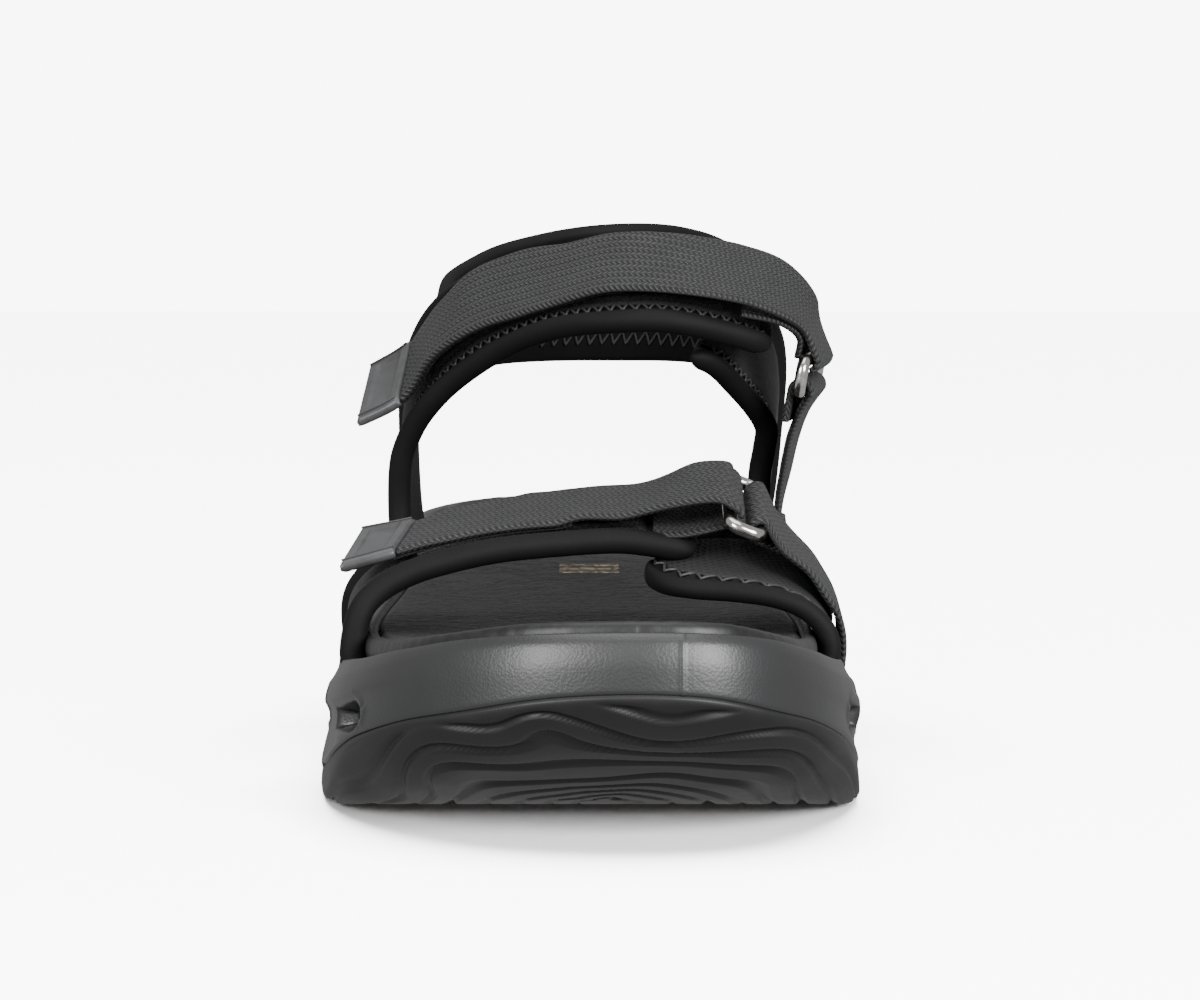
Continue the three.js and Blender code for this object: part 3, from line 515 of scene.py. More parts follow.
# Ring of points round the outline moved inwards: toe tip, -X side, heel tip, +X side. The two
# sides share their Y places, at -reach cos(a) for even steps of a.
def soleRing(inset):
    along = unitRows(np.roll(outline, -1, 0) - np.roll(outline, 1, 0))
    loop = outline + np.stack([along[:, 1], -along[:, 0]], 1) * inset
    toe, heel = np.argmin(loop[:, 1]), np.argmax(loop[:, 1])
    order = np.roll(loop, -toe, axis=0)
    far = (heel - toe) % len(loop)
    near, back = order[: far + 1], np.vstack([order[far:], order[:1]])[::-1]
    angle = np.linspace(0, np.pi, sole["columns"] + 1)
    low, high = loop[toe, 1], loop[heel, 1]
    y = (low + high) / 2 - (high - low) / 2 * np.cos(angle)
    keep = lambda side: side[np.r_[True, np.diff(np.maximum.accumulate(side[:, 1])) > 0]]
    xNear = np.interp(y, keep(near)[:, 1], keep(near)[:, 0])
    xBack = np.interp(y, keep(back)[:, 1], keep(back)[:, 0])
    xNear[[0, -1]] = xBack[[0, -1]] = loop[toe, 0], loop[heel, 0]
    left = np.stack([xNear, y], 1)
    right = np.stack([xBack, y], 1)[1:-1][::-1]
    return np.vstack([left, right])


# Ring whose inset differs along the sole: a mix of two rings.
def mixedRing(insetA, insetB, share):
    a, b = soleRing(insetA), soleRing(insetB)
    w = share(a[:, 1])[:, None]
    return a * (1 - w) + b * w


# Rings that shrink from an outer ring to the sole's middle line. Share 0 is the ring, 1 the line.
def inwardRings(ring, shares):
    count = len(ring)
    half = count // 2
    partner = (-np.arange(count)) % count
    middle = (ring + ring[partner]) / 2
    lowY, highY = ring[0, 1] + sole["middleEnds"], ring[half, 1] - sole["middleEnds"]
    clampedY = np.clip(middle[:, 1], lowY, highY)
    order = np.argsort(middle[:half + 1, 1])
    middleX = np.interp(clampedY, middle[:half + 1, 1][order], middle[:half + 1, 0][order])
    centre = np.stack([middleX, clampedY], 1)
    return ring[None] + (centre - ring)[None] * np.asarray(shares)[:, None, None]


ringStack = np.array([soleRing(inset) for inset in np.arange(0, 15, 1.0)])


# Points of the ring stack at an inset that differs from column to column.
def ringAt(inset):
    at = np.clip(inset, 0, len(ringStack) - 1.001)
    low = np.floor(at).astype(int)
    share = (at - low)[:, None]
    column = np.arange(ringStack.shape[1])
    return ringStack[low, column] * (1 - share) + ringStack[low + 1, column] * share


# Function giving the height at Y along a smooth curve through (Y, height) pairs.
def heightAlong(pairs):
    curve = smoothPath([(y * lengthScale, z) for y, z in pairs], 400)
    return lambda y: np.interp(y, curve[:, 0], curve[:, 1])


rimHeight = heightAlong(sole["rim"])
footHeight = heightAlong(sole["foot"])
toeWrap = heightAlong(sole["toeWrap"])


# Height of the tread: a square rise over the toe run and the heel run.
def treadHeight(y):
    toe = np.clip((soleFront + sole["treadRiseRun"] - y) / sole["treadRiseRun"], 0, None)
    heel = np.clip((y - soleHigh[1] + sole["heelRiseRun"]) / sole["heelRiseRun"], 0, None)
    return sole["treadRise"] * toe**2 + sole["heelRise"] * heel**2


# Height of the seam between outsole and midsole: even over the tread, wrapped up beside the toes.
def seamHeight(y):
    return treadHeight(y) + sole["outsole"] + toeWrap(y)


# Height of the seam over the tread inside the outline: the plain outsole's height plus a share of
# the toe's wrap, row by row.
def innerSeam(y, shares):
    wrap = seamHeight(y) - treadHeight(y) - sole["outsole"]
    return sole["outsole"] + wrap * np.array(shares)[:, None]


# Contour lines for the tread: the length down from the seam, pushed about by a few round hills.
def contourField(x, y, down):
    u, v = x, y - soleFront
    field = down * 0.85
    hills = [  # middle X and Y from the toe, reach in X and Y, rise
             (13, 6, 11, 8, -8), (-7, 5, 6, 4, 5), (-25, 20, 10, 12, 9), (33, 22, 9, 14, 8),
             (2, 24, 14, 9, -7),
             (-34, 44, 10, 14, -7), (10, 48, 15, 12, 8), (-14, 66, 16, 12, -8), (28, 74, 14, 18, 9),
             (-30, 92, 12, 20, 8), (12, 108, 16, 18, -9), (-12, 138, 18, 16, 9), (14, 168, 16, 20, 8),
             (-16, 204, 16, 22, -9), (12, 228, 16, 14, 8)]
    for cx, cy, rx, ry, rise in hills:
        field = field + 0.75 * rise * np.exp(-(((u - cx) / rx) ** 2) - ((v - cy) / ry) ** 2)
    return field + 1.4 * np.sin(v / 9.0) * np.cos(u / 15.0)


# Terrace profile of a tread ridge: steep on one side, sloping on the other, flat on top.
def ridges(field):
    phase = (field / sole["ridgePitch"]) % 1
    return smoothStep(0, 0.14, phase) * (1 - smoothStep(0.66, 1, phase))


# Share of the toe's deeper rounding at each Y.
def toeShare(y):
    return 1 - smoothStep(soleFront + 28, soleFront + 74, y)


# Unit normals of a ring grid: the cross product of its two directions.
def surfaceNormals(grid):
    down = np.gradient(grid, axis=0)
    along = np.roll(grid, -1, 1) - np.roll(grid, 1, 1)
    return unitRows(np.cross(down, along))


# Outsole: a straight wall under the seam, a quarter ellipse inset = a (1 - cos t),
# height = b (1 - sin t), then the tread running to the middle, all cut by the ridges.
def makeOutsole():
    reach, rise = sole["edgeRound"]
    y = ringStack[0][:, 1]
    toe = toeShare(y)
    a = reach + sole["toeRound"] * toe
    b = rise + (seamHeight(y) - treadHeight(y) - 0.7 - rise) * toe
    rows = []
    for share in np.linspace(0, 1, 8):
        ring = ringAt(sole["tuck"] * (1 - share) ** 2 + 0 * y)
        z = seamHeight(y) * (1 - share) + (treadHeight(y) + b) * share
        rows.append(np.stack([ring[:, 0], ring[:, 1], z], 1))
    for t in np.linspace(0, np.pi / 2, 34)[1:]:
        ring = ringAt(a * (1 - np.cos(t)))
        rows.append(np.stack([ring[:, 0], ring[:, 1], treadHeight(ring[:, 1]) + b * (1 - np.sin(t))], 1))
    disc = inwardRings(ringAt(a), np.linspace(0, 1, 96)[1:] ** 1.1)
    rows = np.concatenate([np.array(rows), np.dstack([disc, treadHeight(disc[..., 1])])])
    down = np.cumsum(np.linalg.norm(np.diff(rows, axis=0, prepend=rows[:1]), axis=2), axis=0)
    outward = surfaceNormals(rows)
    outward *= np.where(outward[60:61, :, 2:] > 0, -1, 1)
    groove = (1 - ridges(contourField(rows[..., 0], rows[..., 1], down))) * smoothStep(1.2, 3.2, down)
    lower = rows - outward * (sole["ridgeDepth"] * groove)[..., None]
    lower[..., 2] = np.maximum(lower[..., 2], 0)
    top = inwardRings(ringAt(sole["tuck"] + 0 * y), [1.0, 0.6, 0.3, 0.12, 0.05])
    cap = np.dstack([top, treadHeight(top[..., 1]) + innerSeam(top[..., 1], [0, 0, 0, 0.3, 0.9])])
    return gridPiece("outsoleShell", np.vstack([cap, lower]), caps=False, weld=0.01)


windows = [  # side, middle Y and Z
    (-1, -89, 18.2), (-1, -44, 15.5), (-1, 66, 21), (1, -80, 17.5), (1, -34, 15.5), (1, 70, 21),
]
windowShape = {"length": 24, "height": 6.2, "depth": 3.6, "slope": -0.13}


# Depth share of the side windows at each point: round at the toe end, tapered at the heel end.
def windowMask(x, y, z):
    mask = np.zeros_like(x)
    lip = np.zeros_like(x)
    for side, windowY, windowZ in windows:
        t = (y - windowY * lengthScale) / windowShape["length"] + 0.5
        centre = windowZ + windowShape["slope"] * (t - 0.5) * windowShape["length"] * (windowY < 0)
        half = windowShape["height"] / 2 * np.sqrt(np.clip(t * 5, 0, 1)) * (1 - 0.45 * np.clip(t, 0, 1))
        away = np.maximum(np.abs(z - centre) - half, np.maximum(-t, t - 1) * windowShape["length"])
        own = np.sign(x) == side
        mask = np.maximum(mask, (1 - smoothStep(-0.9, 0.3, away)) * own)
        lip = np.maximum(lip, np.exp(-(((away - 1.0) / 0.8) ** 2)) * own)
    return mask, lip


# Side profiles of the midsole: share of the height from seam to rim, and inset.
wallProfiles = {
    "littleToe": [(0, 0.45), (0.05, 0.0), (0.385, 1.7), (0.52, 1.7), (0.63, 0.9), (0.8, 1.7), (0.92, 2.9),
                  (1, 3.7)],
    "bigToe": [(0, 0.45), (0.07, 0.0), (0.32, 0.6), (0.52, 0.15), (0.77, 0.9), (0.87, 2.1), (1, 3.3)],
    "heel": [(0, 0.45), (0.1, 0.1), (0.35, 1.2), (0.65, 0.9), (0.88, 0.8), (1, 1.7)],
    "toe": [(0, 0.45), (0.1, 0.35), (0.5, 0.7), (0.8, 1.5), (0.93, 2.3), (1, 3.1)],
}


# Midsole: the side profile mixed from four, with windows, slow dents and the moulding's parting
# line, then a rounded shoulder and the recess for the footbed.
def makeMidsole():
    shares = np.linspace(0, 1, 60)
    wall = {key: np.interp(shares, *smoothPath(pairs, 200).T) for key, pairs in wallProfiles.items()}
    y = ringStack[0][:, 1]
    toe = 1 - smoothStep(soleFront + 12, soleFront + 58, y)
    right = smoothStep(-18, 18, ringStack[0][:, 0])
    heel = smoothStep(-25, 30, y)
    sideRim = wall["littleToe"][-1] * (1 - heel) + wall["heel"][-1] * heel
    rimInset = sideRim * (1 - toe) + wall["toe"][-1] * toe
    rows = []
    for k, share in enumerate(shares):
        side = wall["littleToe"][k] * (1 - right) + wall["bigToe"][k] * right
        side = side * (1 - heel) + wall["heel"][k] * heel
        ring = ringAt(side * (1 - toe) + wall["toe"][k] * toe)
        low = seamHeight(y) + sole["seamGap"]
        rows.append(np.stack([ring[:, 0], ring[:, 1], low + (rimHeight(y) - low) * share], 1))
    side = np.array(rows)
    along = unitRows(np.roll(side, -1, 1) - np.roll(side, 1, 1))
    inward = unitRows(np.dstack([along[..., 1], -along[..., 0], np.zeros(side.shape[:2])]))
    x, y, z = side[..., 0], side[..., 1], side[..., 2]
    hole, lip = windowMask(x, y, z)
    calm = smoothStep(0, 3, z - seamHeight(y)) * smoothStep(0, 3, rimHeight(y) - z)
    dents = 0.5 * (1 + np.sin(y / 12.0 + z / 5.0)) * smoothStep(soleFront + 34, soleFront + 64, y)
    partingLine = np.exp(-(((x - 16 * widthScale) / 0.3) ** 2)) * (y < soleFront + 20)
    depth = windowShape["depth"] * hole - 0.35 * lip * calm + dents * calm - 0.28 * partingLine
    side = side + inward * depth[..., None]
    shoulder = []
    for inset, lift in [(0.5, 0.3), (1.2, 0.45), (2.4, 0.5), (3.4, 0.4)]:
        ring = ringAt(rimInset + inset)
        shoulder.append(np.stack([ring[:, 0], ring[:, 1], rimHeight(ring[:, 1]) + lift], 1))
    floor = inwardRings(shoulder[-1][:, :2], [0.01, 0.1, 0.4, 1.0])
    floorZ = rimHeight(floor[..., 1]) - np.array([0.6, 3.0, 3.0, 3.0])[:, None]
    base = inwardRings(ringAt(0.8 + 0 * toe), [1.0, 0.6, 0.3, 0.12, 0.05, 0.0])
    lift = innerSeam(base[..., 1], [0, 0, 0, 0.3, 0.9, 1])
    rows = [np.dstack([base, treadHeight(base[..., 1]) + lift + sole["seamGap"]]), side,
            np.array(shoulder), np.dstack([floor, floorZ])]
    return gridPiece("midsoleFoamBody", np.vstack(rows), caps=False, weld=0.01)


binding = {
    "inset": 9.4,        # middle of the wrapped band, in from the sole's outline
    "toeInset": 5.6,
    "width": 3.4,
    "height": 5.0,
    "pucker": 0.1,
}


# Share of the binding's nearer inset round the toe.
def bindingShare(y):
    return 1 - smoothStep(soleFront, soleFront + 46, y)


# Round-topped band carried round the footbed, with small radial puckers.
def makeBinding():
    centre = mixedRing(binding["inset"], binding["toeInset"], bindingShare)
    run = np.r_[0, np.cumsum(np.linalg.norm(np.diff(centre, axis=0), axis=1))]
    along = unitRows(np.roll(centre, -1, 0) - np.roll(centre, 1, 0))
    outward = np.stack([-along[:, 1], along[:, 0]], 1)
    angle = np.linspace(0, 2 * np.pi, 29)[:-1]
    across = np.sign(np.cos(angle)) * np.abs(np.cos(angle)) ** 0.8 * binding["width"] / 2
    up = np.sin(angle) * binding["height"] / 2
    puckers = binding["pucker"] * (ripple(run, run / 3, 1.6) + 0.8 * ripple(run, run / 2, 4.1))
    swell = 1 + (puckers[:, None] / binding["width"]) * (0.6 + 0.4 * np.cos(angle))[None]
    top = footHeight(centre[:, 1]) + 0.4 + 2.6 * smoothStep(0, 90, centre[:, 1])
    z = top[:, None] - binding["height"] / 2 + up[None] * swell
    x = centre[:, :1] + outward[:, :1] * across[None] * swell
    y = centre[:, 1:] + outward[:, 1:] * across[None] * swell
    return gridPiece("footbedEdgeBand", np.dstack([x, y, z]), loop=True, weld=0.002)


# Ring round the footbed, inside the binding.
def footbedEdge():
    return mixedRing(binding["inset"] + 1.0, binding["toeInset"] + 1.0, bindingShare)


# Footbed surface: dished across, higher at its edge behind the arch, with a toe grip and creases.
def footbedGrid():
    shares = np.linspace(0, 1, 60) ** 1.15
    disc = inwardRings(footbedEdge(), shares)
    x, y = disc[..., 0], disc[..., 1]
    cup = (0.5 + 2.6 * smoothStep(0, 90, y)) * (1 - smoothStep(0.0, 0.55, shares))[:, None]
    rollOff = -1.2 * np.clip(1 - shares / 0.03, 0, 1)[:, None]
    toeGrip = 0.5 * np.exp(-(((y - soleFront - 44) / 7) ** 2)) * smoothStep(0.1, 0.5, shares)[:, None]
    creases = 0.1 * ripple(y - soleFront, x / 4, 1.4) * np.exp(-(((y + 62) / 30) ** 2))
    creases = creases * smoothStep(0.04, 0.2, shares)[:, None]
    return np.dstack([x, y, footHeight(y) + cup + rollOff + toeGrip + creases])


footbedSurface = footbedGrid()


# Height of the footbed's top at each place: that of the nearest grid point.
def footbedHeight(x, y):
    points = footbedSurface.reshape(-1, 3)
    flat = np.stack([x, y], -1).reshape(-1, 2)
    nearest = [np.argmin(((points[:, :2] - place) ** 2).sum(1)) for place in flat]
    return points[nearest, 2].reshape(x.shape)


# Footbed: its surface, closed underneath.
def makeFootbed():
    under = inwardRings(footbedEdge(), [1.0, 0.5, 0.0])
    below = np.dstack([under[..., 0], under[..., 1], rimHeight(under[..., 1]) - 2.4 + 0 * under[..., 0]])
    return gridPiece("footbedTop", np.vstack([below, footbedSurface]), caps=False, weld=0.01)


dress(makeOutsole(), looks["outsole"], "root", "outsole_rubber", "outsole")
dress(makeMidsole(), looks["midsole"], "root", "midsole_foam", "midsole")
dress(makeBinding(), looks["binding"], "root", "footbed_binding", "footbed_binding")
footbed = dress(makeFootbed(), looks["leather"], "root", "footbed_leather", "footbed_cover", "footbed_foam")
for node, look in (("shank", "nylon"), ("insole_board", "board")):
    frame["nodes"][node].data.materials.clear()
    frame["nodes"][node].data.materials.append(looks[look])
print("sole made")


# Edge of a strap, from drawn points (a list) or from a path in place (an array).
def edgePath(points, steps):
    if isinstance(points, np.ndarray):
        return evenSteps(points, steps)
    return smoothPath(placed(points), steps)


# A strap's base surface: rows of front and rear edge points with their outward normals.
class Strap:
    def __init__(self, front, rear, facing, steps):
        self.front, self.rear = edgePath(front, steps), edgePath(rear, steps)
        self.width = np.linalg.norm(self.rear - self.front, axis=1)
        self.across = (self.rear - self.front) / self.width[:, None]
        middle = (self.front + self.rear) / 2
        self.along = unitRows(np.gradient(middle, axis=0))
        frontRun = unitRows(np.gradient(self.front, axis=0))
        rearRun = unitRows(np.gradient(self.rear, axis=0))
        self.normalFront = unitRows(np.cross(frontRun, self.across)) * facing
        self.normalRear = unitRows(np.cross(rearRun, self.across)) * facing
        self.run = np.r_[0, np.cumsum(np.linalg.norm(np.diff(middle, axis=0), axis=1))]
        self.steps = steps

    # Points at distance a across from the front edge and height h, for arrays (steps, m).
    def at(self, a, h):
        share = np.clip(a / self.width[:, None], 0, 1)[..., None]
        normal = unitRows(self.normalFront[:, None] * (1 - share) + self.normalRear[:, None] * share)
        return self.front[:, None] + self.across[:, None] * a[..., None] + normal * h[..., None]

    def uv(self, a):
        return np.dstack([np.broadcast_to(self.run[:, None], a.shape), a])

    def part(self, low, high):
        rows = slice(int(round(low * (self.steps - 1))), int(round(high * (self.steps - 1))) + 1)
        return StrapPart(self, rows)


# Rows of a strap between two shares of its length.
class StrapPart(Strap):
    def __init__(self, whole, rows):
        for key in ("front", "rear", "width", "across", "along", "normalFront", "normalRear", "run"):
            setattr(self, key, getattr(whole, key)[rows])
        self.steps = len(self.front)


# Closed section of a padded band for a width w: a round roll on each edge, a sewn channel inside
# each roll, a flat middle. Columns are (a, h) with a from -roll to w + roll.
def bandSection(width, roll, rearRoll, flatTop, flatBottom, channel=0.35):
    turn = np.linspace(np.pi * 0.3, np.pi * 1.5, 18)
    frontArc = np.stack([roll * np.cos(turn), roll * np.sin(turn)], 1)
    backTurn = np.linspace(-np.pi * 0.5, np.pi * 0.7, 18)
    rearArc = np.stack([rearRoll * np.cos(backTurn), rearRoll * np.sin(backTurn)], 1)
    near = np.array([1.0, 1.3, 1.7, 2.3, 3.0])
    nearH = np.array([0.55, 0.1, 0, 0.4, 1.0]) * channel + flatTop - channel
    rows = []
    for w in width:
        topA = np.r_[near * roll, np.linspace(roll * 3.4, w - rearRoll * 3.4, 5), w - near[::-1] * rearRoll]
        topH = np.r_[nearH, np.full(5, flatTop), nearH[::-1]]
        underA = np.linspace(w * 0.25, w * 0.75, 3)
        rows.append(np.vstack([
            frontArc,
            np.stack([underA, np.full(3, flatBottom)], 1),
            np.stack([w + rearArc[:, 0], rearArc[:, 1]], 1),
            np.stack([topA[::-1], topH[::-1]], 1),
        ]))
    return np.array(rows)


# Padded band: the section carried along the strap, slightly gathered where it is sewn, its free end
# rounded off as a quarter circle over the taper's length.
def makeBand(name, strap, roll, rearRoll, flatTop, flatBottom, gathers, taper):
    section = bandSection(strap.width, roll, rearRoll, flatTop, flatBottom)
    a, h = section[..., 0], section[..., 1]
    run = np.broadcast_to(strap.run[:, None], a.shape)
    fromRear = strap.width[:, None] - a
    nearSeam = np.exp(-(((a - 4.2) / 1.6) ** 2)) + np.exp(-(((fromRear - 4.2) / 1.6) ** 2))
    h = h + (h > 0) * nearSeam * gathers * np.sin(run * 2 * np.pi / 2.7) + 0.1 * ripple(run, a, 7.0)
    fromEnd = np.clip((strap.run[-1] - strap.run) / taper, 0, 1)[:, None]
    fullness = np.sqrt(np.clip(1 - (1 - fromEnd) ** 2, 0.001, 1))
    middle = strap.width[:, None] / 2
    a = middle + (a - middle) * (0.8 + 0.2 * fullness)
    return gridPiece(name, strap.at(a, h * fullness), uv=strap.uv(a))


# Flat layer over a strap between two distances across, with rounded edges.
def makeLayer(name, strap, lowA, highA, lowH, highH, columns=14, wave=0.0):
    half = (highH - lowH) / 2
    share = np.linspace(0, 1, columns)[None]
    lowA = np.broadcast_to(lowA, strap.width.shape)[:, None]
    highA = np.broadcast_to(highA, strap.width.shape)[:, None]
    top = lowA + (highA - lowA) * share
    edge = np.minimum(share * (highA - lowA), (1 - share) * (highA - lowA))
    rounding = half * 0.75 * np.clip(1 - edge / max(half, 0.3), 0, 1) ** 2
    bulge = wave * ripple(np.broadcast_to(strap.run[:, None], top.shape), top, 2.2)
    highSide = np.broadcast_to(highH, strap.width.shape)[:, None] - rounding + bulge
    lowSide = np.broadcast_to(lowH, strap.width.shape)[:, None] + rounding
    a = np.hstack([top, top[:, ::-1]])
    h = np.hstack([highSide + 0 * top, (lowSide + 0 * top)[:, ::-1]])
    return gridPiece(name, strap.at(a, h), uv=strap.uv(a))


# Tube of stitches along a zigzag: distance across swings between two sides, dipping at each end.
def makeZigzag(name, strap, middle, swing=1.5, pitch=2.7, height=0.8, thickness=0.27, perStitch=6):
    length = strap.run[-1]
    count = int(length / pitch * 2)
    s = np.linspace(0, count, count * perStitch + 1)
    at = np.interp(s / count * length, strap.run, np.arange(strap.steps))
    tri = 2 * np.abs((s / 2) % 1 - 0.5) * 2 - 1
    low = np.floor(at).astype(int).clip(0, strap.steps - 2)
    f = (at - low)[:, None]
    pick = lambda v: v[low] * (1 - f) + v[low + 1] * f
    front, across, normal = pick(strap.front), pick(strap.across), unitRows(pick(strap.normalFront))
    dip = 0.22 * np.cos(np.pi * s) ** 8
    path = front + across * (middle + tri * swing)[:, None] + normal * (height - dip)[:, None]
    return makeTube(name, path, thickness, normal)


# Round tube along a path.
def makeTube(name, path, radius, up, sides=6):
    along = unitRows(np.gradient(path, axis=0))
    side = unitRows(np.cross(along, up))
    top = np.cross(side, along)
    angle = np.linspace(0, 2 * np.pi, sides, endpoint=False)
    radius = np.broadcast_to(radius, len(path))[:, None, None]
    circle = side[:, None] * np.cos(angle)[None, :, None] + top[:, None] * np.sin(angle)[None, :, None]
    grid = path[:, None] + radius * circle
    return gridPiece(name, grid)


# Edges of the bands at rest, front roll and rear roll, from the slot upwards.
forefootLateral = Strap(
    [(-41.6, -62, 22.5), (-42.8, -62, 27), (-41.5, -61, 34), (-38.2, -59, 38), (-32.5, -57, 41.0),
     (-25.3, -55, 43.1), (-16.2, -52.5, 44.8), (-5.2, -50, 45.8), (5.9, -48, 46.1), (14.2, -47, 45.1),
     (20, -46.5, 44.0)],
    [(-42.9, -30, 22.5), (-44.3, -30, 27), (-44.3, -29, 34), (-41, -28, 39), (-34.5, -26.5, 42.8),
     (-26.7, -25, 46), (-17, -23, 48.2), (-5, -21, 50), (6, -20, 51.2), (14, -20, 51.2), (21, -20, 50.7)],
     1, 170)
forefootMedial = Strap(
    [(42.4, -63, 22.5), (44.0, -63, 27), (43.2, -63, 31), (39.5, -63, 34.8), (34, -62.5, 37.0),
     (27, -61.5, 37.9), (19.5, -60, 38.3), (14, -56.5, 38.9), (11.2, -50, 40.0), (11.5, -43, 41.4)],
    [(42.6, -26, 22.5), (44.2, -26, 27), (44.4, -26, 33), (42.4, -26, 38), (38.8, -26.5, 41.6),
     (33.5, -27.5, 44.2), (26.8, -29, 45.2), (18, -31, 44.8), (15, -32, 44.5)], -1, 130)
instepLateral = Strap(
    [(-36.6, 46, 32), (-38.4, 46, 39), (-39.0, 46, 46.6), (-38.6, 44, 54.5), (-37, 42, 59.8),
     (-33.6, 38, 65.7), (-27.1, 32, 72.5), (-17.8, 24, 78.8), (-7.7, 15, 83.1), (4.2, 7, 84.9),
     (15.9, 4, 85), (27.7, 8, 82.6), (36, 13, 79.5)],
    [(-35.4, 74, 34), (-36.8, 74, 40), (-37.5, 74, 46), (-38, 72, 56), (-38, 70, 66), (-36.5, 66, 76),
     (-32, 60, 85), (-24, 52, 91.5), (-12, 44, 95.6), (0, 36, 97.6), (10, 31, 98.2), (20, 30, 96.4),
     (30, 32, 92), (37, 35, 85.6)], 1, 200)
instepMedial = Strap(
    [(34.4, 44, 32), (34.6, 44, 42), (34.8, 43, 52.3), (35.6, 40, 58.2), (35.8, 36, 62.6),
     (33.3, 30, 66.9), (29.2, 22, 71.7), (25, 15, 75.8), (20, 11, 78.5)],
    [(34.6, 74, 34), (36.2, 74, 42), (38, 73, 55), (38.8, 69, 66), (38.8, 61, 76), (37, 51, 82.5),
     (33.5, 42, 85.5), (28, 36, 86.5)], -1, 150)
heelStrap = Strap(
    [(-37, 69, 64), (-38, 80, 65.5), (-32.5, 100, 71), (-19, 113.5, 74), (4, 118.5, 74.5), (25, 112, 74),
     (35.2, 99, 70.5), (38.8, 84, 64), (38.6, 70.8, 60.8)],
    [(-30.4, 58.8, 87.4), (-28.5, 73, 92.2), (-19.5, 91, 97), (-6, 105, 100.3), (8, 110.5, 101.6),
     (20, 106, 100.9), (29.5, 93.5, 97.4), (35.8, 78, 89.4), (38.4, 61.2, 76.6)], -1, 200)

bandNodes = {
    "forefoot_lateral": forefootLateral, "forefoot_medial": forefootMedial, "instep_lateral": instepLateral,
    "instep_medial": instepMedial, "heel_strap": heelStrap,
}
# Roll, rear roll, top and underside of the flat, gathers, and length of the rounded end.
bandShape = {
    "usual": (2.35, 2.1, 0.9, -2.0, 0.14, 5.0),
    "forefoot_medial": (1.85, 1.8, 1.25, -1.7, 0.1, 5.0),
    "heel_strap": (1.7, 1.6, 0.8, -1.5, 0.1, 0.5),
}
coverStop = {"forefoot_lateral": 0.97, "forefoot_medial": 0.9, "instep_lateral": 0.97}
for node, strap in bandNodes.items():
    name = "".join(word.capitalize() if k else word for k, word in enumerate(node.split("_")))
    pad = makeBand(name + "Pad", strap, *bandShape.get(node, bandShape["usual"]))
    dress(pad, looks["neoprene"], "root", "neoprene_lining", node + "_lining", node + "_foam")
    stop = coverStop.get(node, 1.0)
    part = strap.part(0.0, stop)
    top = bandShape.get(node, bandShape["usual"])[2]
    low, high = top - 0.15, top + 0.2
    cover = makeLayer(name + "Cover", part, 5.0, part.width - 4.6, low, high, columns=22, wave=0.04)
    look = looks["mesh" if node == "forefoot_medial" else "cover"]
    dress(cover, look, "root", "knit_cover", node + "_cover")
print("bands made")

stitching = {
    "forefoot_lateral": (forefootLateral, 0.12, 0.98), "forefoot_medial": (forefootMedial, 0.1, 0.93),
    "instep_lateral": (instepLateral, 0.1, 0.98), "instep_medial": (instepMedial, 0.1, 0.95),
}
for node, (strap, low, high) in stitching.items():
    top = bandShape.get(node, bandShape["usual"])[2]
    pitch = 3.6 if node == "forefoot_medial" else 2.7
    name = node.replace("_", "") + "Zigzag"
    thread = makeZigzag(name, strap.part(low, high), 4.3, 1.3, pitch, top + 0.12)
    dress(thread, looks["thread"], "root", "thread", node + "_stitching")

# Zigzags on the inner faces: strap, stretch of its length, height under its surface.
innerStitching = {
    "forefoot": (forefootLateral, 0.2, 0.9, -2.1), "instep": (instepLateral, 0.2, 0.95, -2.1),
    "heel": (heelStrap, 0.02, 0.98, -1.75),
}
for side, (strap, low, high, height) in innerStitching.items():
    inner = makeZigzag(side + "InnerZigzag", strap.part(low, high), 4.4, height=height)
    dress(inner, looks["thread"], "root", "thread")
heelSeam = makeZigzag("heelUpperZigzag", heelStrap.part(0.02, 0.98), 4.0)
dress(heelSeam, looks["thread"], "root", "thread")


# A ring's frame from the two joint axes: bar middles, direction along the bars, pull towards the
# strap bar, and outward.
def ringFrame(name):
    swivel, lift = joints[name + "_ring_swivel"], joints[name + "_strap_lift"]
    holder = np.array(swivel["pos_m"]) / millimetre
    strapBar = np.array(lift["pos_m"]) / millimetre
    width = unitRows(np.array(lift["axis"], float))
    pull = unitRows(strapBar - holder - width * np.dot(strapBar - holder, width))
    return {"holder": holder, "strap": strapBar, "width": width, "pull": pull, "out": np.cross(width, pull)}


ringSizes = {"wire": 1.25, "halfLong": 14.95, "corner": 2.4}  # wire radius, half length, corner radius
tape = {
    "width": 25.0,
    "thickness": 1.3,
    "wrapGap": 0.12,  # from the holder bar's wire to the holder wound on it
    "foldGap": 0.5,   # from the strap bar's wire to the folded webbing
}


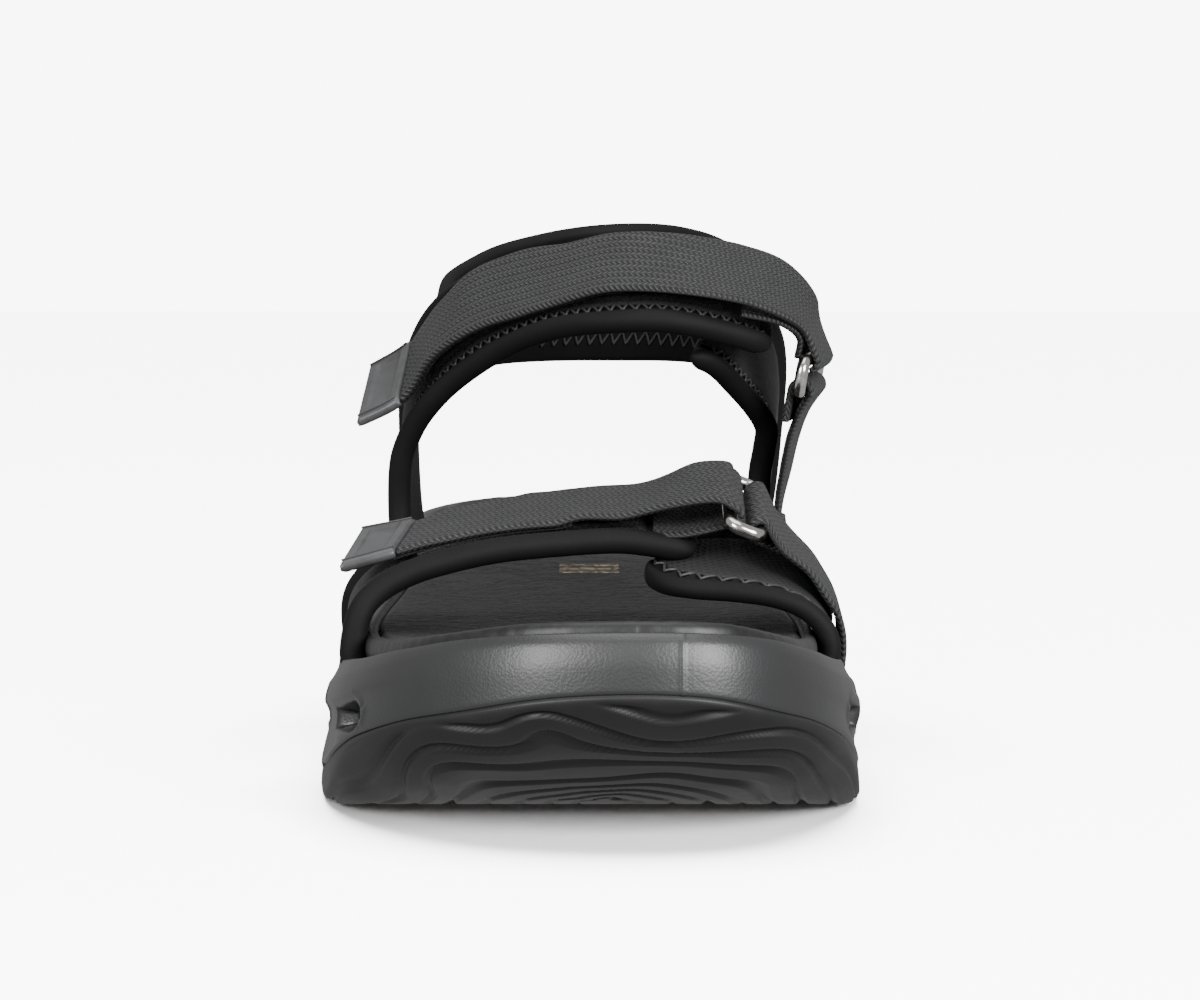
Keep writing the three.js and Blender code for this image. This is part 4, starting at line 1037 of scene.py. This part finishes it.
# Wire ring: a circle carried round a rounded rectangle.
def makeRing(name, ringPlan):
    spacing = np.linalg.norm(ringPlan["strap"] - ringPlan["holder"])
    long, short, r = ringSizes["halfLong"], spacing / 2, ringSizes["corner"]
    arcs = []
    for k, (sideX, sideY) in enumerate([(1, 1), (-1, 1), (-1, -1), (1, -1)]):
        cx, cy = sideX * (long - r), sideY * (short - r)
        turn = np.linspace(0, np.pi / 2, 12) + k * np.pi / 2
        arcs.append(np.stack([cx + r * np.cos(turn), cy + r * np.sin(turn)], 1))
    flat = evenSteps(np.vstack(arcs + [arcs[0][:1]]), 161)[:-1]
    middle = (ringPlan["strap"] + ringPlan["holder"]) / 2
    path = middle + flat[:, :1] * ringPlan["width"] + flat[:, 1:] * ringPlan["pull"]
    along = unitRows(np.roll(path, -1, 0) - np.roll(path, 1, 0))
    side = np.cross(along, ringPlan["out"])
    angle = np.linspace(0, 2 * np.pi, 20, endpoint=False)[None, :, None]
    circle = side[:, None] * np.cos(angle) + ringPlan["out"][None, None] * np.sin(angle)
    grid = path[:, None] + ringSizes["wire"] * circle
    return gridPiece(name, grid, loop=True, weld=0.001)


# Edges of tape wound on a bar: angle 90 is the outer side, 0 faces towards.
def barWrap(bar, ringPlan, towards, degrees, radius, width):
    angle = np.radians(degrees)[:, None]
    normal = towards * np.cos(angle) + ringPlan["out"] * np.sin(angle)
    middle = bar + normal * radius
    return middle - ringPlan["width"] * width / 2, middle + ringPlan["width"] * width / 2


# Strap between two edge paths, each resampled evenly first.
def tapeBetween(front, rear, facing, steps):
    return Strap(evenSteps(front, steps), evenSteps(rear, steps), facing, steps)


# For each closure: edges of the folded webbing's upper run from the ring to its tip, edges of its
# sewn lower run, stretches of the band's length and width with pile, stretch of the webbing with
# hooks, the bands it lies on, and edges of the ring holder from the ring down to its slot.
closures = {
    "forefoot": {
        "upperFront": [(24.3, -49.8, 53.4), (20, -49.3, 53.2), (13, -48.3, 51.9), (5.9, -47.5, 50.2),
                       (-5.4, -47, 49.0), (-17.7, -48.5, 47.6), (-29.6, -50.5, 45.6), (-37, -52, 43.6)],
        "upperRear": [(26, -27, 59.4), (20.3, -25.5, 59.0), (13, -24, 55.8), (6, -23, 54.3),
                      (-7.3, -23, 53.2), (-14.7, -24, 51.8), (-25.5, -26, 49.4), (-34.9, -28, 47.6)],
        "tipFront": (-45.5, -53, 41.3), "tipRear": (-42.7, -29, 46.2),
        "lowerFront": [(17.7, -48.5, 47.0), (12, -48, 47.0)],
        "lowerRear": [(18, -24.5, 51.6), (12, -24, 52.4)],
        "pile": (0.34, 0.86), "pileA": (6.2, 28.0), "hook": (0.44, 0.9),
        "band": forefootLateral, "under": forefootMedial,
        "holderFront": [(35.9, -53, 44.6), (40.5, -53, 40.8), (43.6, -53, 36.4), (46.2, -53, 32.1),
                        (47.0, -53, 27), (46.3, -53, 20)],
        "holderRear": [(34.9, -28.3, 50.5), (36.9, -28, 47.9), (40.2, -28, 44), (43, -28, 40.2),
                       (45.8, -28, 35.2), (47.3, -28, 29.5), (46.9, -28, 20)],
    },
    "instep": {
        "upperFront": [(42.9, 16.5, 82), (39.5, 12, 84.8), (34.1, 8, 87.2), (28.4, 5, 88.9),
                       (19, 3, 90.4), (9.6, 5, 91.0), (2.2, 8, 90.5), (-5.9, 13, 88.1), (-15.4, 20, 84.9),
                       (-22.1, 26, 81.6), (-30.4, 33, 75.7), (-35.6, 37, 69.9), (-40.2, 38, 66.2)],
        "upperRear": [(46.6, 40.6, 84), (45.8, 39.5, 89), (42.9, 37, 93.2), (38.5, 34, 96.8),
                      (32, 31, 99.2), (25, 28, 100.8), (17, 27, 101.9), (9, 28, 102.2), (2.2, 31, 101.5),
                      (-4.1, 35, 99.6), (-12, 42, 96.4), (-19.9, 48, 91.2), (-25.5, 52, 86.4),
                      (-31.9, 55, 81.4), (-38.8, 58, 77.2)],
        "tipFront": (-47.0, 40, 62.9), "tipRear": (-45.1, 59, 73.7),
        "lowerFront": [(41.5, 16.3, 81.4), (37.3, 11.5, 84.3), (30, 8, 86)],
        "lowerRear": [(44.4, 39.6, 84.4), (40.5, 36.5, 90), (31, 33, 93)],
        "pile": (0.36, 0.9), "pileA": (6.6, 26.5), "hook": (0.42, 0.93),
        "band": instepLateral, "under": instepMedial,
        "holderFront": [(41.8, 21, 66.5), (40.0, 25, 61), (38.9, 31, 54), (38.2, 36, 47.5),
                        (38.4, 39, 41), (38.0, 41, 33)],
        "holderRear": [(44.6, 45, 66), (42.6, 49, 60), (41.2, 54, 53), (39.8, 59, 46.5), (39.2, 62, 41),
                       (38.6, 64, 33)],
    },
}


# Edges of a tape moved out where it would sink into its band: least height is the band's own
# profile (a roll at each edge, flat between) plus a clearance.
def liftOver(front, rear, band, clearance):
    a = np.linspace(0, 1, 15)[None] * band.width[:, None]
    base = band.at(a, 0 * a).reshape(-1, 3)
    share = np.broadcast_to(np.linspace(0, 1, 15)[None], a.shape)[..., None]
    normals = band.normalFront[:, None] * (1 - share) + band.normalRear[:, None] * share
    normals = unitRows(normals).reshape(-1, 3)
    fromEdge = np.minimum(a, band.width[:, None] - a).reshape(-1)
    least = 0.95 + 1.4 * (1 - smoothStep(1.5, 3.5, fromEdge)) + clearance
    lifts = []
    for side in np.linspace(0, 1, 7):
        p = front * (1 - side) + rear * side
        nearest = np.argmin(((p[:, None] - base[None]) ** 2).sum(2), axis=1)
        gap = p - base[nearest]
        height = (gap * normals[nearest]).sum(1)
        sideways = np.linalg.norm(gap - normals[nearest] * height[:, None], axis=1)
        lack = np.clip(least[nearest] - height, 0, 6) * (sideways < 1.6)
        lifts.append(lack[:, None] * normals[nearest])
    size = np.array([np.linalg.norm(lift, axis=1) for lift in lifts])
    frontLift = np.array(lifts)[np.argmax(size[:4], axis=0), np.arange(len(front))]
    rearLift = np.array(lifts)[3 + np.argmax(size[3:], axis=0), np.arange(len(front))]
    soften = np.hanning(23)[1:-1] / np.hanning(23)[1:-1].sum()
    padded = lambda column: np.pad(column, 10, mode="edge")
    even = lambda lift: np.stack([np.convolve(padded(lift[:, k]), soften, "valid") for k in range(3)], 1)
    return front + 1.1 * even(frontLift), rear + 1.1 * even(rearLift)


# Whole folded tape of a closure: wound on the strap bar from a slack angle to its outer side,
# then on over the band to the tip.
def foldedTape(plan, ringPlan):
    radius = ringSizes["wire"] + tape["foldGap"] + tape["thickness"] / 2
    bar, towards, turn = ringPlan["strap"], -ringPlan["pull"], np.linspace(30, 90, 12)
    frontWrap, rearWrap = barWrap(bar, ringPlan, towards, turn, radius, tape["width"])
    front = np.vstack([frontWrap[-1:], placed(plan["upperFront"]), placed([plan["tipFront"]])])
    rear = np.vstack([rearWrap[-1:], placed(plan["upperRear"]), placed([plan["tipRear"]])])
    frontRun, rearRun = liftOver(smoothPath(front, 220), smoothPath(rear, 220), plan["band"], 1.75)
    return frontWrap, rearWrap, frontRun, rearRun


tabShape = {"length": 10.5, "frame": 2.4, "panelDepth": 0.5, "stitchInset": 1.3}
pileHairs = {"count": 2200, "length": (0.5, 0.7), "radius": 0.05}


# A closure's ring, folded webbing, tab, hook and loop strips, lower run and holder.
def makeClosure(name, plan):
    ringPlan = ringFrame(name)
    ring = makeRing(name + "WireRing", ringPlan)
    dress(ring, looks["metal"], name + "_ring", "ring_metal", name + "_ring")
    frontWrap, rearWrap, frontRun, rearRun = foldedTape(plan, ringPlan)
    half = tape["thickness"] / 2
    whole = tapeBetween(np.vstack([frontWrap[:-1], frontRun]), np.vstack([rearWrap[:-1], rearRun]), 1, 260)
    facing = np.sign(np.dot(whole.normalFront[30], ringPlan["out"]))
    whole.normalFront *= facing
    whole.normalRear *= facing
    tipAt = 1 - tabShape["length"] / whole.run[-1]
    strip = whole.part(0, tipAt)
    webbing = makeLayer(name + "StrapTape", strip, 0, strip.width, -half, half, columns=26, wave=0.04)
    webbing.data.materials.append(looks["webbing"])
    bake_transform(webbing)
    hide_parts(name + "_webbing_near", name + "_webbing_end")

    tab = whole.part(tipAt + 0.002, 1)
    dress(makeTab(name + "Tab", tab), looks["tab"], name + "_strap_end", "moulded_tab", name + "_tip")
    inset = tabShape["stitchInset"]
    for k, a in enumerate((inset + 0 * tab.width, tab.width - inset)):
        row = a[:, None]
        path = tab.at(row, np.full((tab.steps, 1), 1.38))[1:-1, 0]
        stitch = makeTube(name + "TabStitch" + str(k), path, 0.2, tab.normalFront[1:-1])
        dress(stitch, looks["thread"], name + "_strap_end", "thread")

    startAt, endAt = plan["hook"]
    hook = whole.part(startAt, endAt)
    low, high = -half - 0.75, -half - 0.05
    hookStrip = makeLayer(name + "HookTape", hook, 1.2, hook.width - 1.2, low, high, columns=16, wave=0.1)
    dress(hookStrip, looks["pile"], name + "_strap_end", "hook_tape", name + "_hook_strip")
    pile = plan["band"].part(*plan["pile"])
    loopStrip = makeLayer(name + "LoopPile", pile, *plan["pileA"], 1.0, 1.9, columns=40, wave=0.12)
    dress(loopStrip, looks["pile"], "root", "loop_pile", name + "_loop_strip")

    fuzz = makeFuzz(name + "PileFuzz", pile, plan["pileA"][0], pileHairs["count"])
    dress(fuzz, looks["pile"], "root", "loop_pile")

    # The lower run and the fixed part of the fold round the bar.
    radius = ringSizes["wire"] + 0.15
    bar, towards, width = ringPlan["strap"], -ringPlan["pull"], tape["width"] - 0.6
    lowFront, lowRear = barWrap(bar, ringPlan, towards, np.array([-90]), radius + 0.4, width)
    front = smoothPath(np.vstack([lowFront, placed(plan["lowerFront"])]), 60)
    rear = smoothPath(np.vstack([lowRear, placed(plan["lowerRear"])]), 60)
    lower = tapeBetween(front, rear, 1, 60)
    lowerTape = makeLayer(name + "LowerTape", lower, 0, lower.width, -half, half, columns=20, wave=0.03)
    dress(lowerTape, looks["webbing"], "root", "webbing", name + "_webbing_lower")
    foldFront, foldRear = barWrap(bar, ringPlan, towards, np.linspace(-95, 60, 24), radius, width)
    fold = tapeBetween(foldFront, foldRear, 1, 40)
    foldTape = makeLayer(name + "InnerFold", fold, 0, fold.width, -0.1, 0.1, columns=16)
    dress(foldTape, looks["webbing"], name + "_ring", "webbing")
    makeHolder(name, plan, ringPlan)


# Fuzzy edge of a pile strip: short leaning hairs, each a three-sided spike in three rings.
def makeFuzz(name, strap, edgeA, count):
    chance = np.random.default_rng(7)
    at = chance.random(count) * (strap.steps - 1.001)
    row = np.floor(at).astype(int)
    f = (at - row)[:, None]
    pick = lambda v: v[row] * (1 - f) + v[row + 1] * f
    across, normal = pick(strap.across), unitRows(pick(strap.normalFront))
    along = unitRows(pick(strap.along))
    a = edgeA + 4.0 * chance.random(count) ** 2.2 - 0.2
    rise = 1.0 + 0.7 * smoothStep(edgeA, edgeA + 0.8, a)
    base = pick(strap.front) + across * a[:, None] + normal * rise[:, None]
    outwardLean = across * (0.2 + chance.random(count))[:, None]
    lean = unitRows(normal * 0.7 - outwardLean + along * chance.normal(0, 0.7, count)[:, None])
    curl = np.cross(lean, along) * chance.normal(0, 0.35, count)[:, None]
    shortest, spread = pileHairs["length"]
    length = (shortest + spread * chance.random(count))[:, None]
    turn = np.arange(3) * 2 * np.pi / 3
    side = unitRows(np.cross(lean, across))
    other = np.cross(lean, side)
    triangle = side[:, None] * np.cos(turn)[None, :, None] + other[:, None] * np.sin(turn)[None, :, None]
    rings = []
    for share, thickness in ((0, 1), (0.55, 0.9), (1, 0.24)):
        centre = base + (lean * share + curl * share**2) * length
        rings.append(centre[:, None] + pileHairs["radius"] * thickness * triangle)
    points = np.stack(rings, axis=1).reshape(-1, 3)
    first = np.arange(count)[:, None] * 9
    corners = [(k * 3, i, (i + 1) % 3) for k in range(2) for i in range(3)]
    walls = [(k + i, k + after, k + 3 + after, k + 3 + i) for k, i, after in corners]
    quads = (first[:, None] + np.array(walls)[None]).reshape(-1, 4).tolist()
    ends = (first[:, None] + np.array([(2, 1, 0), (6, 7, 8)])[None]).reshape(-1, 3).tolist()
    mesh = bpy.data.meshes.new(name)
    mesh.from_pydata((points * millimetre).tolist(), [], quads + ends)
    return finishedPiece(name, mesh)


# Moulded tab: a slab with a raised frame round a sunk panel. Height over the panel is lower by
# the panel's depth, with a soft step.
def makeTab(name, tab):
    columns = 30
    inset = tabShape["frame"]
    share = np.linspace(0, 1, columns)[None]
    a = tab.width[:, None] * share
    s = (tab.run - tab.run[0])[:, None]
    length = s[-1, 0]
    edge = np.minimum(np.minimum(a, tab.width[:, None] - a), np.minimum(s, length - s))
    panel = smoothStep(inset - 0.25, inset + 0.25, edge)
    rounding = 0.6 * np.clip(1 - edge / 0.7, 0, 1) ** 2
    top = 1.25 - tabShape["panelDepth"] * panel - rounding
    bottom = -1.0 + rounding + 0 * a
    grid = tab.at(np.hstack([a, a[:, ::-1]]), np.hstack([top, bottom[:, ::-1]]))
    return gridPiece(name, grid, uv=tab.uv(np.hstack([a, a[:, ::-1]])))


# Ring holder: tape up from the slot, round the holder bar and back under itself.
def makeHolder(name, plan, ringPlan):
    radius = ringSizes["wire"] + tape["wrapGap"] + tape["thickness"] / 2
    turn = np.linspace(90, -90, 16)
    front, rear = barWrap(ringPlan["holder"], ringPlan, ringPlan["pull"], turn, radius, tape["width"])
    frontRun = smoothPath(np.vstack([front[:1], placed(plan["holderFront"])]), 90)
    rearRun = smoothPath(np.vstack([rear[:1], placed(plan["holderRear"])]), 90)
    frontRun, rearRun = liftOver(frontRun, rearRun, plan["under"], tape["thickness"] / 2 + 0.15)
    back = [-ringPlan["pull"] * k + ringPlan["out"] * -0.02 * k for k in (2, 4, 6.5)]
    frontAll = np.vstack([frontRun[::-1], front[1:], [front[-1] + b for b in back]])
    rearAll = np.vstack([rearRun[::-1], rear[1:], [rear[-1] + b for b in back]])
    holder = tapeBetween(frontAll, rearAll, 1, 150)
    half = tape["thickness"] / 2
    piece = makeLayer(name + "RingHolderTape", holder, 0, holder.width, -half, half, columns=24, wave=0.04)
    dress(piece, looks["webbing"], "root", "webbing", name + "_ring_holder")


for name, plan in closures.items():
    makeClosure(name, plan)
    print(name, "closure made")


# Plain foil bars lying on the footbed where the mark goes.
def makeFoilBars():
    low, high = [np.array(corner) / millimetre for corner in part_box("footbed_foil_mark")]
    across = np.linspace(low[0], high[0], 9)[None]
    rows = []
    for start in (0.06, 0.4, 0.74):
        y = low[1] + (high[1] - low[1]) * np.linspace(start, start + 0.2, 4)[:, None]
        z = footbedHeight(across + 0 * y, y + 0 * across) + 0.12
        top = np.dstack([across + 0 * y, y + 0 * across, z])
        rows.append(np.concatenate([top, (top - [0, 0, 0.3])[::-1]]))
    bars = [gridPiece("foilBar" + str(k), np.transpose(bar, (1, 0, 2))) for k, bar in enumerate(rows)]
    for bar in bars:
        dress(bar, looks["foil"], "root", "foil", "footbed_foil_mark")


makeFoilBars()


stageSizes = {"floor": 6.0, "cameraDistance": 0.9, "elevation": 4.0, "lens": 138.5, "backdrop": 8.0}


# The floor shows to the camera but throws no light back on the piece.
def makeStage():
    half = stageSizes["floor"] / 2
    mesh = bpy.data.meshes.new("floor")
    corners = [(-half, -half, 0), (half, -half, 0), (half, half, 0), (-half, half, 0)]
    mesh.from_pydata(corners, [], [(0, 1, 2, 3)])
    floor = bpy.data.objects.new("floor", mesh)
    bpy.context.scene.collection.objects.link(floor)
    mesh.materials.append(newMaterial("paleFloor", (0.92, 0.915, 0.91), 0.9)[0])
    floor.visible_diffuse = floor.visible_glossy = False
    lit = bpy.data.collections.new("litFloor")
    lit.objects.link(floor)
    data = bpy.data.lights.new("floorLight", "SUN")
    data.energy = 26
    data.angle = np.radians(60)
    light = bpy.data.objects.new("floorLight", data)
    light.rotation_euler = (-0.25, 0, 0)
    bpy.context.scene.collection.objects.link(light)
    light.light_linking.receiver_collection = lit


# Rectangular lamp aimed at a point.
def softLight(name, place, aim, size, power):
    data = bpy.data.lights.new(name, "AREA")
    data.shape = "RECTANGLE"
    data.size, data.size_y = size
    data.energy = power
    light = bpy.data.objects.new(name, data)
    light.location = place
    light.rotation_euler = (Vector(aim) - Vector(place)).to_track_quat("-Z", "Y").to_euler()
    bpy.context.scene.collection.objects.link(light)
    return light


# Soft room light on the piece; the camera sees a brighter, plain backdrop.
def makeLights():
    world = bpy.data.worlds.new("studio")
    bpy.context.scene.world = world
    world.use_nodes = True
    tree = world.node_tree
    background = tree.nodes["Background"]
    background.inputs["Color"].default_value = (1, 1, 1, 1)
    seen = tree.nodes.new("ShaderNodeLightPath").outputs["Is Camera Ray"]
    strength = calc(tree, "ADD", calc(tree, "MULTIPLY", seen, stageSizes["backdrop"]), 0.5)
    tree.links.new(strength, background.inputs["Strength"])
    softLight("rightLight", (0.75, -0.95, 0.5), (0, 0, 0.04), (0.6, 0.6), 24)
    softLight("leftLight", (-0.7, -1.0, 0.5), (0, 0, 0.04), (0.5, 0.6), 15)
    softLight("topLight", (0, -0.1, 1.2), (0, 0, 0.05), (0.9, 0.9), 7)


# Camera a little above the toe, looking along the sole.
def makeCamera():
    low, high = cadBox
    target = Vector(((low[0] + high[0]) / 2 + 0.0022, 0, (low[2] + high[2]) / 2 - 0.0012))
    data = bpy.data.cameras.new("camera")
    data.sensor_width = 36
    data.lens = stageSizes["lens"]
    camera = bpy.data.objects.new("camera", data)
    tilt = np.radians(stageSizes["elevation"])
    offset = Vector((0, -np.cos(tilt), np.sin(tilt))) * stageSizes["cameraDistance"]
    camera.location = target + offset
    camera.rotation_euler = (-offset).to_track_quat("-Z", "Y").to_euler()
    bpy.context.scene.collection.objects.link(camera)
    bpy.context.scene.camera = camera


makeCamera()
makeStage()
makeLights()
print("stage set")
